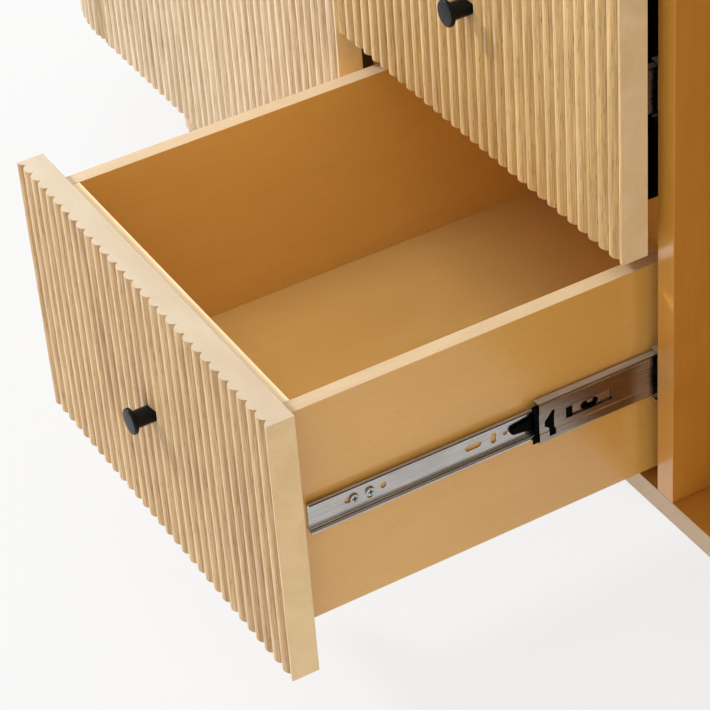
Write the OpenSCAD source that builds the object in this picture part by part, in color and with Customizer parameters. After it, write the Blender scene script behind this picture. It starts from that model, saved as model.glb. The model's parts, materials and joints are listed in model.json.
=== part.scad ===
// Double vanity unit: three drawers in the middle, a door on each side, ribbed fronts and rounded
// ribbed ends, a stone top with two basins, and five legs. Millimetres, +Z up, the fronts face -Y.
// The origin is on the floor, under the middle of the centre leg.

/* [Cabinet] */
// Width over the ribs of the two ends
unit_w = 1676; // [1560:2:1900]
// Depth from the ribs of the closed fronts to the back
unit_d = 548; // [548:2:640]
// Height of the legs with their glides
leg_h = 150; // [110:5:250]
// Thickness of the boards that make the carcass
board_t = 19; // [18:0.5:22]
// Thickness of the back board
back_t = 12; // [9:1:15]
// Radius of the rounded front corners, measured over the ribs
corner_r = 156; // [120:2:170]
// Flat part of an end panel between the door's seam and the rounded corner
corner_flat = 11.4; // [8:0.2:20]
// Height of the stretchers in front of the basins
stretcher_h = 60; // [45:1:80]
// Depth of the flat stretcher over the drawers
stretcher_d = 80; // [50:1:120]
// Depth of the posts that carry the front edge of the end panels
stile_d = 76; // [50:1:100]

/* [Ribbed fronts] */
// Width of a drawer front
front_w = 382; // [340:1:460]
// Height of a drawer front
front_h = 226; // [210:1:260]
// Space between two drawer fronts, and above the top one
front_gap = 12; // [10:0.5:16]
// Thickness of a front over its ribs
front_t = 21.5; // [19:0.5:25]
// Space between the back of a closed front and the carcass
front_standoff = 12.7; // [10:0.1:16]
// How far a front covers the edge of a divider
overlay = 6.7; // [4:0.1:8]
// Width of one rib
rib_pitch = 12.7; // [10:0.1:16]
// Height of a rib over the groove beside it
rib_depth = 4; // [2:0.1:5]
// Distance from the end of a ribbed face to the crest of its outer rib
rib_land = 0.5; // [0.2:0.1:2]

/* [Drawer boxes] */
// Space between a closed drawer box and the back board
back_gap = 54.5; // [35:0.5:60]
// Height of a drawer box
box_h = 183.5; // [150:0.5:195]
// Distance from the top of a front down to the top of its box
box_drop = 13.5; // [13.5:0.5:20]
// Thickness of the sides and the back of a box
side_t = 12.5; // [12:0.5:16]
// Thickness of the inner board behind a drawer front
inner_front_t = 13; // [12:0.5:16]
// Thickness of a drawer bottom
bottom_t = 9; // [6:0.5:12]
// Height of the bottom's underside over the lower edge of the sides
bottom_up = 10; // [6:0.5:14]
// Depth of the groove that holds a drawer bottom
groove_d = 6; // [4:0.5:8]

/* [Runners] */
// Length of a ball-bearing runner
runner_l = 450; // [400:1:450]
// Width that a runner takes between the box and the carcass
runner_space = 12.8; // [12.8:0.1:13.4]
// Distance from the top of a front down to the middle of its runner
runner_drop = 105; // [90:1:120]
// Distance from the back of a front to the rail on the box
runner_setback = 8; // [6:0.5:9]
// Height of the rail on the carcass
cabinet_rail_h = 45.7; // [45.7:0.1:46.5]
// Height of the rail in the middle of a runner
mid_rail_h = 35.3; // [35:0.1:35.5]
// Height of the rail on the box
drawer_rail_h = 26; // [25.8:0.1:26.2]
// Thickness of the rails' steel
rail_t = 1.3; // [1.2:0.1:1.4]
// Part of a drawer's travel that the middle rails follow
mid_share = 0.3333; // [0.3:0.0001:0.35]

/* [Knobs] */
// Diameter of a knob's head
knob_d = 20.5; // [18:0.5:34]
// How far a knob stands out from the ribs
knob_l = 20.5; // [18:0.5:32]
// Diameter of a knob's neck
neck_d = 13.6; // [10:0.1:15]
// Thickness of a knob's head at its rim
head_t = 3.6; // [3:0.1:6]
// Distance from a door's free edge to its knob
door_knob_in = 45; // [35:1:80]
// Height of a door's knob over the door's lower edge
door_knob_up = 430; // [300:5:550]

/* [Doors] */
// Space between a door and the end panel beside it
seam_gap = 3; // [2.8:0.1:5]
// Distance of the pivot from the door's edge and from its ribs
pivot_in = 5.5; // [5:0.1:6.5]
// Radius of a pivot's pin
pin_r = 2.5; // [2:0.1:2.6]
// Length of a pivot's pin inside the door
pin_l = 12; // [8:0.5:20]
// Thickness of a pivot's plate
plate_t = 2.5; // [2:0.1:3]

/* [Stone top and basins] */
// Thickness of the stone top
stone_t = 25; // [18:1:40]
// How far the stone stands out over the ribs at the front and the ends
stone_overhang = 12; // [5:1:30]
// Distance of each basin's middle from the middle of the unit
basin_x = 470; // [440:1:500]
// Inner radius of a basin at its rim
basin_r = 185; // [160:1:188]
// Depth of a basin under the stone
basin_depth = 140; // [120:1:170]
// Thickness of a basin's wall
basin_wall = 10; // [7:0.5:12]
// Radius between a basin's wall and its floor
basin_round = 90; // [60:1:110]
// Radius of the drain hole
drain_r = 22.5; // [20:0.5:26]
// Radius of the hole for a tap
tap_r = 17.5; // [15:0.5:20]
// Distance from the back of the stone to the middle of the tap's hole
tap_in = 45; // [40:1:48]

/* [Back board] */
// Width of a cut-out for pipes
pipe_w = 260; // [150:5:300]
// Height of a cut-out for pipes
pipe_h = 180; // [120:5:220]
// Height of the middle of a cut-out over the bottom board
pipe_up = 261; // [200:1:300]
// Radius of a hole for a screw into the wall
anchor_r = 2.75; // [2:0.25:4]
// Distance between the two columns of wall screws
anchor_w = 812.8; // [700:0.1:900]
// Distance between the two rows of wall screws
anchor_h = 40; // [30:1:60]
// Height of the middle of the wall screws over the bottom board
anchor_up = 491; // [470:1:500]

/* [Legs] */
// Diameter of a leg at the top
leg_d = 60; // [50:1:70]
// Diameter of a leg at the bottom
leg_foot_d = 46; // [42:1:50]
// Distance from the ribs of an end to the middle of a leg
leg_in_x = 148; // [120:1:200]
// Distance from the ribs of the fronts, or from the back, to the middle of a leg
leg_in_y = 109; // [100:1:160]
// Height of a glide
glide_h = 6; // [4:0.5:10]
// Radius of a glide
glide_r = 20; // [15:0.5:21]
// Radius of the bolts and stems in the legs
bolt_r = 4; // [3:0.5:5]

/* [Pose] */
// How far the lower drawer is pulled out
lower_pull = 278.3; // [0:0.1:450]
// How far the middle drawer is pulled out
middle_pull = 0; // [0:0.1:450]
// How far the upper drawer is pulled out
upper_pull = 0; // [0:0.1:450]
// Angle of the left door
left_angle = 0; // [0:1:125]
// Angle of the right door
right_angle = 122; // [0:1:125]

/* [Hidden] */
$fn = 64;
// Clearance of a glued joint, of a screw in its hole and of a pin that turns
glue_gap = 0.2;
screw_gap = 0.05;
pin_gap = 0.05;
// Clearance between a part that moves and what it passes
run_gap = 0.3;
// Overlap that lets a cut run past a face
past = 1;

half_w = unit_w / 2;
y_front = stone_overhang - (unit_d + stone_overhang) / 2;
y_back = y_front + unit_d;
y_behind = y_front + front_t;
y_case = y_behind + front_standoff;
y_back_board = y_back - back_t;
box_d = y_back_board - y_behind - back_gap;
z_floor = leg_h + board_t;
z_step = front_h + front_gap;
drawer_count = 3;
z_top = leg_h + drawer_count * z_step;
door_h = z_top - front_gap - leg_h;
opening_half = front_w / 2 - overlay;
divider_out = opening_half + board_t;
door_inner = divider_out - overlay;
seam_x = half_w - corner_r - corner_flat;
door_outer = seam_x - seam_gap;
door_w = door_outer - door_inner;
pivot = [-(door_outer - pivot_in), y_front + pivot_in];
stile_x = seam_x + board_t;

// A rib is an arc over one pitch. The board behind it starts a little under the grooves.
rib_r = (rib_pitch * rib_pitch / 4 + rib_depth * rib_depth) / (2 * rib_depth);
rib_root = rib_depth + 0.3;

box_half = opening_half - runner_space;
box_inner = box_half - side_t;
box_z = front_h - box_drop - box_h;
bottom_z = box_z + bottom_up;
runner_z = front_h - runner_drop;

// Places in a runner's section, measured from the carcass
mid_web = 4.6;
mid_lip = 11.4;
cabinet_lip = 9.5;
drawer_lip = 5.2;
// Places along a runner, measured from the front of its rail
screw_places = [39.3, 52, runner_l - 100];
small_hole_places = [62.7, 161.8];
long_slot_place = 135.5;
cross_slot_place = 152;
lever_place = 165;
lever_l = 20;
lever_h = 12;
lever_t = 2.4;
bumper_l = 33.4;
bumper_out = 4.8;
mid_notch = [6.4, 6.6];
mid_window = [22.4, 38.8];
mid_notch_h = 19;
mid_window_h = 9.6;
mid_lead = 0.5;
cabinet_lead = 1;

// Screws
screw_r = 1.9;
head_r = 3.6;
head_h = 1.5;
recess_w = 1;
recess_d = 0.8;
board_bite = 10;
front_bite = 14;
front_screw_in = 40;
stud_r = 2;
stud_l = 12;

// Knobs: the easing of the head's rim, and how far the head tapers into the neck
rim_r = 1.2;
head_cone = 2;

// Ball cages
cage_l = 130;
cage_t = 0.8;
cage_place = 8;
cage_back_place = runner_l - cage_l - 20;
ball_step = 26;
ball_gap = 0.25;

stem_l = 20;
bolt_l = 40;
flange_w = 20;
flange_t = 12;
stone_reveal = 2;
catch_w = 12;
catch_h = 40;
catch_l = 50;
catch_drop = 120;
plate_w = 28;
plate_h = 17;
tongue_w = 7;
seam_round = 6;

// Placing

// Both sides of the unit: the child is made on the left and mirrored to the right
module both_sides() {
    children();
    mirror([1, 0, 0]) children();
}

// A drawer's place: number 0 is the lower one, pulled out by the given length
module drawer_at(number, pull) {
    translate([0, -pull, leg_h + number * z_step]) children();
}

// The middle rails follow a part of the drawer's travel
module mid_rails_at(number, pull) {
    drawer_at(number, pull * mid_share) children();
}

// A left door's place, opened by the given angle
module swing(angle) {
    translate(pivot) rotate([0, 0, -angle]) translate(-pivot) children();
}

// A section drawn in X and Z, run along Y from y over the length l
module along_y(y, l) {
    translate([0, y + l, 0]) rotate([90, 0, 0]) linear_extrude(l) children();
}

// An outline drawn in Y and Z, run along X from x over the length l
module along_x(x, l) {
    translate([x, 0, 0]) rotate([90, 0, 90]) linear_extrude(l) children();
}

module slot(l, w) {
    translate([-l / 2, -w / 2]) square([l, w]);
    for (end = [-1, 1]) translate([end * l / 2, 0]) circle(d = w, $fn = 32);
}

// Outlines

// Plan of the unit, drawn in from the ribs by a distance, with its rounded front corners
module plan(inset) {
    r = corner_r - inset;
    x = half_w - inset;
    y = y_front + inset;
    translate([-x + r, y]) square([2 * (x - r), y_back - y]);
    translate([-x, y + r]) square([2 * x, y_back - y - r]);
    for (end = [-1, 1]) translate([end * (x - r), y + r]) circle(r = r, $fn = 128);
}

// Plan of a flat ribbed board: its ribs face -Y and its first end is at x = 0
module ribbed_board(w) {
    count = round((w - 2 * rib_land) / rib_pitch);
    step = (w - 2 * rib_land) / count;
    intersection() {
        square([w, front_t]);
        union() {
            translate([0, rib_root]) square([w, front_t - rib_root]);
            for (i = [0:count]) translate([rib_land + i * step, rib_r]) circle(r = rib_r);
        }
    }
}

// What a rounded edge takes off a corner whose edges run along +X and +Y
module corner_cut(r) {
    difference() {
        translate([-past, -past]) square(r + past);
        translate([r, r]) circle(r = r);
    }
}

// Ribs along an end panel: flat, round the corner, then along the end
flat_l = corner_flat;
arc_l = corner_r * PI / 2;
side_l = unit_d - corner_r;
path_l = flat_l + arc_l + side_l;
arc_centre = [-(half_w - corner_r), y_front + corner_r];

// Middle of a rib's arc at the distance s from the seam
function rib_centre(s) =
    s < flat_l ? [-(seam_x + s), y_front + rib_r]
    : s < flat_l + arc_l ? arc_centre + (corner_r - rib_r) * turn((s - flat_l) / corner_r * 180 / PI)
    : [-(half_w - rib_r), arc_centre.y + s - flat_l - arc_l];
function turn(angle) = [-sin(angle), -cos(angle)];

module end_panel_plan() {
    count = round((path_l - 2 * rib_land) / rib_pitch);
    step = (path_l - 2 * rib_land) / count;
    difference() {
        intersection() {
            translate([-half_w, y_front]) square([half_w - seam_x, unit_d]);
            union() {
                plan(rib_root);
                for (i = [0:count]) translate(rib_centre(rib_land + i * step)) circle(r = rib_r);
            }
        }
        plan(front_t);
        translate([-seam_x, y_front]) mirror([1, 0]) corner_cut(seam_round);
    }
}

// Carcass

module bottom_board() {
    color("burlywood") difference() {
        translate([0, 0, leg_h]) linear_extrude(board_t) intersection() {
            plan(front_t + glue_gap);
            translate([-half_w, y_case]) square([unit_w, y_back_board - y_case]);
        }
        for (place = leg_places) translate(place) bolt_hole();
    }
}

module left_divider() {
    color("burlywood") translate([-divider_out, y_case, z_floor])
        cube([board_t, y_back_board - y_case, z_top - z_floor]);
}

module right_divider() {
    mirror([1, 0, 0]) left_divider();
}

module back_board() {
    inner = half_w - front_t - glue_gap;
    color("burlywood") along_y(y_back_board, back_t) difference() {
        translate([-inner, leg_h]) square([2 * inner, z_top - leg_h]);
        for (side = [-1, 1]) {
            translate([side * basin_x - pipe_w / 2, z_floor + pipe_up - pipe_h / 2])
                square([pipe_w, pipe_h]);
            for (row = [-1, 1])
                translate([side * anchor_w / 2, z_floor + anchor_up + row * anchor_h / 2])
                    circle(r = anchor_r);
        }
    }
}

module left_end_panel() {
    color("burlywood") translate([0, 0, leg_h]) linear_extrude(z_top - leg_h) end_panel_plan();
}

module right_end_panel() {
    mirror([1, 0, 0]) left_end_panel();
}

// A post behind each door's seam carries the front edge of the end panel
module corner_posts() {
    color("burlywood") both_sides() translate([0, 0, z_floor])
        linear_extrude(z_top - z_floor) intersection() {
            plan(front_t + glue_gap);
            translate([-stile_x, y_behind]) square([board_t, stile_d]);
        }
}

// A flat stretcher over the drawers and an upright one in front of each basin
module top_stretchers() {
    color("burlywood") {
        translate([-opening_half, y_case, z_top - board_t])
            cube([2 * opening_half, stretcher_d, board_t]);
        both_sides() translate([-seam_x, y_case, z_top - stretcher_h])
            cube([seam_x - divider_out, board_t, stretcher_h]);
    }
}

// Stone top and basins

module stone_top() {
    color("whitesmoke") translate([0, 0, z_top]) linear_extrude(stone_t) difference() {
        plan(-stone_overhang);
        for (side = [-1, 1]) {
            translate([side * basin_x, basin_y]) circle(r = basin_r - stone_reveal, $fn = 128);
            translate([side * basin_x, y_back - tap_in]) circle(r = tap_r);
        }
    }
}

basin_y = y_case + board_t + flange_w + basin_wall + basin_r + 5;

// Half section of a bowl under the stone: radius r at the rim, with a rounded floor at depth h
module bowl_section(r, h, round_r) {
    translate([0, -h]) square([r - round_r, h]);
    translate([0, round_r - h]) square([r, h - round_r]);
    translate([r - round_r, round_r - h]) intersection() {
        circle(r = round_r, $fn = 96);
        translate([0, -round_r]) square(round_r);
    }
}

module basin() {
    outer_r = basin_r + basin_wall;
    outer_h = basin_depth + basin_wall;
    translate([-basin_x, basin_y, z_top]) rotate_extrude($fn = 128) difference() {
        union() {
            bowl_section(outer_r, outer_h, basin_round + basin_wall);
            translate([0, -flange_t]) square([outer_r + flange_w, flange_t]);
        }
        bowl_section(basin_r, basin_depth, basin_round);
        translate([0, -past]) square([basin_r, 2 * past]);
        translate([0, -outer_h - past]) square([drain_r, outer_h]);
    }
}

module left_basin() {
    color("white") basin();
}

module right_basin() {
    color("white") mirror([1, 0, 0]) basin();
}

// Legs

leg_x = half_w - leg_in_x;
leg_front_y = y_front + leg_in_y;
leg_back_y = y_back - leg_in_y;
leg_places = [
    [-leg_x, leg_front_y], [leg_x, leg_front_y], [-leg_x, leg_back_y], [leg_x, leg_back_y], [0, 0]
];

module bolt_hole() {
    translate([0, 0, leg_h - bolt_l]) cylinder(r = bolt_r + screw_gap, h = bolt_l + board_t + past);
}

module leg(place) {
    color("bisque") translate(place) difference() {
        translate([0, 0, glide_h])
            cylinder(d1 = leg_foot_d, d2 = leg_d, h = leg_h - glide_h);
        bolt_hole();
        translate([0, 0, glide_h - past]) cylinder(r = bolt_r + screw_gap, h = stem_l + past);
    }
}

module leg_glides() {
    color("dimgray") for (place = leg_places) translate(place) {
        cylinder(r = glide_r, h = glide_h);
        cylinder(r = bolt_r, h = glide_h + stem_l);
    }
}

module leg_bolts() {
    color("silver") for (place = leg_places) translate([place.x, place.y, leg_h - bolt_l])
        cylinder(r = bolt_r, h = bolt_l + board_t);
}

// Doors

module door_leaf() {
    color("burlywood") difference() {
        translate([-door_outer, y_front, leg_h]) linear_extrude(door_h) difference() {
            ribbed_board(door_w);
            corner_cut(pivot_in);
        }
        for (z = [leg_h - past, leg_h + door_h - pin_l]) translate([pivot.x, pivot.y, z])
            cylinder(r = pin_r + pin_gap, h = pin_l + past);
        translate([-door_inner - door_knob_in, y_front, leg_h + door_knob_up]) stud(screw_gap);
    }
}

module left_door() {
    swing(left_angle) door_leaf();
}

module right_door() {
    mirror([1, 0, 0]) swing(right_angle) door_leaf();
}

module door_knob() {
    translate([-door_inner - door_knob_in, y_front, leg_h + door_knob_up]) knob();
}

module left_door_knob() {
    swing(left_angle) door_knob();
}

module right_door_knob() {
    mirror([1, 0, 0]) swing(right_angle) door_knob();
}

// One pivot of a left door: a plate on the carcass, a tongue beside the door's end and a pin.
// The tongue's far face from the door is at z = 0.
module pivot_bracket() {
    tongue_l = y_case - pivot.y;
    linear_extrude(plate_t) {
        translate(pivot) circle(d = tongue_w, $fn = 32);
        translate([pivot.x - tongue_w / 2, pivot.y]) square([tongue_w, tongue_l]);
    }
    translate([-seam_x + run_gap, y_case - plate_t, 0]) cube([plate_w, plate_t, plate_h + plate_t]);
    translate([pivot.x, pivot.y, 0]) cylinder(r = pin_r, h = plate_t + run_gap + pin_l - 1);
}

module door_pivots() {
    color("gray") both_sides() {
        translate([0, 0, leg_h - run_gap - plate_t]) pivot_bracket();
        translate([0, 0, leg_h + door_h + run_gap + plate_t]) mirror([0, 0, 1]) pivot_bracket();
    }
}

// A catch on each divider reaches forward to the back of the closed door
module door_catches() {
    color("dimgray") both_sides()
        translate([-divider_out - catch_w, y_behind + run_gap, z_top - catch_drop])
            cube([catch_w, catch_l, catch_h]);
}

// Knobs

// The threaded stud that holds a knob, or the hole for it when it is made wider
module stud(wider) {
    translate([0, -past, 0]) rotate([-90, 0, 0])
        cylinder(r = stud_r + wider, h = stud_l + past, $fn = 32);
}

// A turned knob on a ribbed face at y = 0: a straight neck and a flat head with an eased rim
module knob() {
    head_back = knob_l - head_t;
    color("dimgray") {
        rotate([90, 0, 0]) rotate_extrude($fn = 64) {
            square([neck_d / 2, knob_l - rim_r]);
            translate([0, head_back]) square([knob_d / 2, head_t - rim_r]);
            translate([0, head_back]) square([knob_d / 2 - rim_r, head_t]);
            translate([knob_d / 2 - rim_r, knob_l - rim_r]) circle(r = rim_r, $fn = 32);
            polygon([
                [0, head_back + rim_r], [knob_d / 2, head_back + rim_r], [knob_d / 2, head_back],
                [neck_d / 2, head_back - head_cone], [0, head_back - head_cone]
            ]);
        }
        stud(0);
    }
}

// The knob in the middle of a drawer front
module front_knob() {
    translate([0, y_front, front_h / 2]) knob();
}

// Drawers

module drawer_front() {
    color("burlywood") difference() {
        translate([-front_w / 2, y_front, 0]) linear_extrude(front_h) ribbed_board(front_w);
        translate([0, y_front, front_h / 2]) stud(screw_gap);
        front_screws() screw_hole(inner_front_t + front_bite);
    }
}

module inner_front() {
    color("peru") difference() {
        translate([-box_inner, y_behind, box_z]) cube([2 * box_inner, inner_front_t, box_h]);
        bottom_panel(0);
        front_screws() screw_hole(inner_front_t + front_bite);
    }
}

module box_sides() {
    color("peru") both_sides() difference() {
        translate([-box_half, y_behind, box_z]) cube([side_t, box_d, box_h]);
        bottom_panel(side_t + past);
        side_screws() screw_hole(rail_t + board_bite);
    }
}

module box_back() {
    color("peru") difference() {
        translate([-box_inner, y_behind + box_d - side_t, box_z])
            cube([2 * box_inner, side_t, box_h]);
        bottom_panel(0);
    }
}

// The bottom sits in a groove all round, which in the sides may run on past the back of the box
module bottom_panel(longer) {
    l = box_d - inner_front_t - side_t + 2 * groove_d + longer;
    translate([-box_inner - groove_d, y_behind + inner_front_t - groove_d, bottom_z])
        cube([2 * (box_inner + groove_d), l, bottom_t]);
}

module box_bottom() {
    color("tan") bottom_panel(0);
}

// Screws

// A pan-head screw that points along +Z, with its head under z = 0 and a cross recess
module screw(l) {
    difference() {
        union() {
            translate([0, 0, -head_h]) cylinder(r = head_r, h = head_h, $fn = 32);
            cylinder(r = screw_r, h = l, $fn = 24);
        }
        for (angle = [0, 90]) rotate([0, 0, angle])
            translate([-head_r * 0.6, -recess_w / 2, -head_h - past])
                cube([head_r * 1.2, recess_w, recess_d + past]);
    }
}

module screw_hole(l) {
    cylinder(r = screw_r + screw_gap, h = l, $fn = 24);
}

// Four screws go from the inner front into the ribbed front
module front_screws() {
    for (x = [-1, 1], z = [-1, 1])
        translate([x * (box_inner - front_screw_in), y_behind + inner_front_t,
                   box_z + box_h / 2 + z * (box_h / 2 - front_screw_in)])
            rotate([90, 0, 0]) children();
}

// The screws of the left runner, through its rail into the side of the box
module side_screws() {
    for (place = screw_places)
        translate([-box_half - rail_t, rail_front + place, runner_z])
            rotate([0, 90, 0]) children();
}

module drawer_screws() {
    color("silver") {
        front_screws() screw(inner_front_t + front_bite - past);
        both_sides() side_screws() screw(rail_t + board_bite - past);
    }
}

// Runners, all made on the left, with x counted from the carcass towards the box

rail_front = y_behind + runner_setback;

// Section of a rail: the web at x = 0 and two lips
module rail_section(h, depth) {
    difference() {
        translate([0, -h / 2]) square([depth, h]);
        translate([rail_t, rail_t - h / 2]) square([depth, h - 2 * rail_t]);
    }
}

module cabinet_rail() {
    translate([-opening_half, 0, runner_z])
        along_y(y_case + cabinet_lead, runner_l) rail_section(cabinet_rail_h, cabinet_lip);
}

module cabinet_rails() {
    color("silver") for (number = [0:drawer_count - 1])
        drawer_at(number, 0) both_sides() cabinet_rail();
}

// The rail on the box has slots and holes for its screws
module drawer_rail() {
    difference() {
        translate([-box_half, 0, runner_z]) mirror([1, 0, 0])
            along_y(rail_front, runner_l) rail_section(drawer_rail_h, drawer_lip);
        translate([0, rail_front, runner_z])
            along_x(-box_half - rail_t - past, rail_t + 2 * past) {
                translate([screw_places[0], 0]) slot(5, 5);
                translate([screw_places[1], 0]) rotate(90) slot(5, 5);
                translate([screw_places[2], 0]) slot(5, 5);
                translate([long_slot_place, 0]) slot(8, 5);
                translate([cross_slot_place, 0]) rotate(90) slot(5, 4.5);
                for (place = small_hole_places) translate([place, 0]) circle(r = 1.8, $fn = 24);
            }
    }
}

module drawer_rails() {
    color("silver") both_sides() drawer_rail();
}

// A release lever lies in the channel of the rail on the box
module levers() {
    color("black") both_sides()
        translate([-box_half - rail_t - lever_t, rail_front + lever_place, runner_z - lever_h / 2])
            cube([lever_t, lever_l, lever_h]);
}

module mid_rail() {
    front = rail_front + mid_lead;
    difference() {
        translate([-opening_half + mid_web, 0, runner_z])
            along_y(front, runner_l) rail_section(mid_rail_h, mid_lip - mid_web);
        translate([0, front, runner_z]) along_x(-opening_half + mid_web - past, rail_t + 2 * past) {
            translate([mid_notch[0], -mid_notch_h / 2]) square([mid_notch[1], mid_notch_h]);
            translate([mid_window[0], -mid_window_h / 2]) square([mid_window[1], mid_window_h]);
        }
    }
}

// A strip that holds a row of balls between two lips. Its middle is at x and z.
module ball_cage(x, z, w, ball_d, y) {
    translate([x - w / 2, y, z - cage_t / 2]) cube([w, cage_l, cage_t]);
    for (along = [ball_step / 2:ball_step:cage_l]) translate([x, y + along, z])
        sphere(d = ball_d, $fn = 16);
}

module ball_cages() {
    front = rail_front + mid_lead;
    drawer_gap = (mid_rail_h - drawer_rail_h) / 2 - rail_t;
    cabinet_gap = (cabinet_rail_h - mid_rail_h) / 2 - rail_t;
    inner_x = -box_half - (drawer_lip + runner_space - mid_lip) / 2;
    outer_x = -opening_half + (mid_web + cabinet_lip) / 2;
    for (row = [-1, 1]) {
        ball_cage(inner_x, runner_z + row * (drawer_rail_h + drawer_gap) / 2, 3,
                  drawer_gap - 2 * ball_gap, front + cage_place);
        ball_cage(outer_x, runner_z + row * (mid_rail_h + cabinet_gap) / 2, 4,
                  cabinet_gap - 2 * ball_gap, front + cage_back_place);
    }
}

module mid_rails() {
    color("silver") both_sides() {
        mid_rail();
        ball_cages();
    }
}

// A plastic stop on the front end of each middle rail
module bumpers() {
    h = mid_rail_h - 2 * rail_t - 2 * screw_gap;
    color("black") both_sides()
        translate([-opening_half + mid_web + rail_t, rail_front + mid_lead - bumper_out,
                   runner_z - h / 2])
            cube([1.4, bumper_l, h]);
}

bottom_board();
left_divider();
right_divider();
back_board();
left_end_panel();
right_end_panel();
top_stretchers();
corner_posts();
stone_top();
left_basin();
right_basin();
leg(leg_places[0]);  // front_left_leg
leg(leg_places[1]);  // front_right_leg
leg(leg_places[2]);  // back_left_leg
leg(leg_places[3]);  // back_right_leg
leg(leg_places[4]);  // centre_leg
leg_glides();
leg_bolts();
cabinet_rails();
door_pivots();
door_catches();
left_door();
left_door_knob();
right_door();
right_door_knob();

drawer_at(0, lower_pull) drawer_front();  // lower_front
drawer_at(0, lower_pull) inner_front();  // lower_inner_front
drawer_at(0, lower_pull) box_sides();  // lower_sides
drawer_at(0, lower_pull) box_back();  // lower_back
drawer_at(0, lower_pull) box_bottom();  // lower_bottom
drawer_at(0, lower_pull) front_knob();  // lower_knob
drawer_at(0, lower_pull) drawer_rails();  // lower_drawer_rails
drawer_at(0, lower_pull) levers();  // lower_levers
drawer_at(0, lower_pull) drawer_screws();  // lower_screws
mid_rails_at(0, lower_pull) mid_rails();  // lower_mid_rails
mid_rails_at(0, lower_pull) bumpers();  // lower_bumpers

drawer_at(1, middle_pull) drawer_front();  // middle_front
drawer_at(1, middle_pull) inner_front();  // middle_inner_front
drawer_at(1, middle_pull) box_sides();  // middle_sides
drawer_at(1, middle_pull) box_back();  // middle_back
drawer_at(1, middle_pull) box_bottom();  // middle_bottom
drawer_at(1, middle_pull) front_knob();  // middle_knob
drawer_at(1, middle_pull) drawer_rails();  // middle_drawer_rails
drawer_at(1, middle_pull) levers();  // middle_levers
drawer_at(1, middle_pull) drawer_screws();  // middle_screws
mid_rails_at(1, middle_pull) mid_rails();  // middle_mid_rails
mid_rails_at(1, middle_pull) bumpers();  // middle_bumpers

drawer_at(2, upper_pull) drawer_front();  // upper_front
drawer_at(2, upper_pull) inner_front();  // upper_inner_front
drawer_at(2, upper_pull) box_sides();  // upper_sides
drawer_at(2, upper_pull) box_back();  // upper_back
drawer_at(2, upper_pull) box_bottom();  // upper_bottom
drawer_at(2, upper_pull) front_knob();  // upper_knob
drawer_at(2, upper_pull) drawer_rails();  // upper_drawer_rails
drawer_at(2, upper_pull) levers();  // upper_levers
drawer_at(2, upper_pull) drawer_screws();  // upper_screws
mid_rails_at(2, upper_pull) mid_rails();  // upper_mid_rails
mid_rails_at(2, upper_pull) bumpers();  // upper_bumpers
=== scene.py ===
"""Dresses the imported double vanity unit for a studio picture.

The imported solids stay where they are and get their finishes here. Ribbed faces, knobs, runners,
basins, stone and legs are made again with finer edges, and each new piece rides on the body of
the solid that it stands for. All lengths are in metres, in the part's own frame.
"""

import json
import logging
import math
from dataclasses import dataclass, field, replace
from enum import Enum

import bmesh
import bpy
from mathutils import Matrix, Vector

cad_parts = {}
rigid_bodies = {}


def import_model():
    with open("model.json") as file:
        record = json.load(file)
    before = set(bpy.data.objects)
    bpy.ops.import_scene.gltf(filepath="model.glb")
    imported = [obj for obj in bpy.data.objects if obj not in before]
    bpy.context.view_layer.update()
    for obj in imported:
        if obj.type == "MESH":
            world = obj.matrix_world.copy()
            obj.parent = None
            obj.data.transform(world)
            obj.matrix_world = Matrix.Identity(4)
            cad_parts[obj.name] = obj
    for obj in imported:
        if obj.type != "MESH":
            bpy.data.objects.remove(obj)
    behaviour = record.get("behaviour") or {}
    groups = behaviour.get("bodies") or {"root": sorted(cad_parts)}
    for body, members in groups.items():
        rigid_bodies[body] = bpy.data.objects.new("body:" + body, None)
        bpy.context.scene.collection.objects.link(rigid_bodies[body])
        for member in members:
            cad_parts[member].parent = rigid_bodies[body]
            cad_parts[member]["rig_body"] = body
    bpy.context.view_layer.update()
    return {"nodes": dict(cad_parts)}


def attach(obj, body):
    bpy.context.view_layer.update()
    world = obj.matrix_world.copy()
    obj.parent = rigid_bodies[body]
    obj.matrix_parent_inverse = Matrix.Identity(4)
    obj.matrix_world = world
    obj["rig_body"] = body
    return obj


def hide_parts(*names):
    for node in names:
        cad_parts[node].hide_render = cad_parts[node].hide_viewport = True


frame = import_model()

log = logging.getLogger("vanity")

MM = 0.001
# Points closer than this, or angles smaller, are the same
TINY = 1e-6
# Distance at which points are merged
WELD = 0.001 * MM
# Straight pieces in the half circle of a slot's end
ROUND_STEPS = 10
# Where a noise pattern has most of its values
PATTERN_RANGE = (0.3, 0.7)
# How far an offset moves a pattern along each axis
PATTERN_MOVES = (1.0, 1.7, 2.3)
# Least cosine between a face's normal and a direction in which it is said to look
SAME_WAY = 0.9
# Straight pieces in the rounded corner of a ribbed board
CORNER_STEPS = 5
# How far each drawer is pulled out, in mm, and each door is open, in degrees
PULLS = {"lower": 278.3, "middle": 0.0, "upper": 0.0}
SWINGS = {"left": 0.0, "right": 122.0}


# Colours and nodes


def linear(hex_colour: str) -> tuple[float, float, float, float]:
    """Turns an sRGB hex colour into linear light.

    Args:
        hex_colour: six hex digits.

    Returns:
        Red, green, blue and an alpha of one.
    """
    parts = [int(hex_colour[i:i + 2], 16) / 255 for i in (0, 2, 4)]
    light = [p / 12.92 if p <= 0.04045 else ((p + 0.055) / 1.055) ** 2.4 for p in parts]
    return (*light, 1.0)


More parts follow.
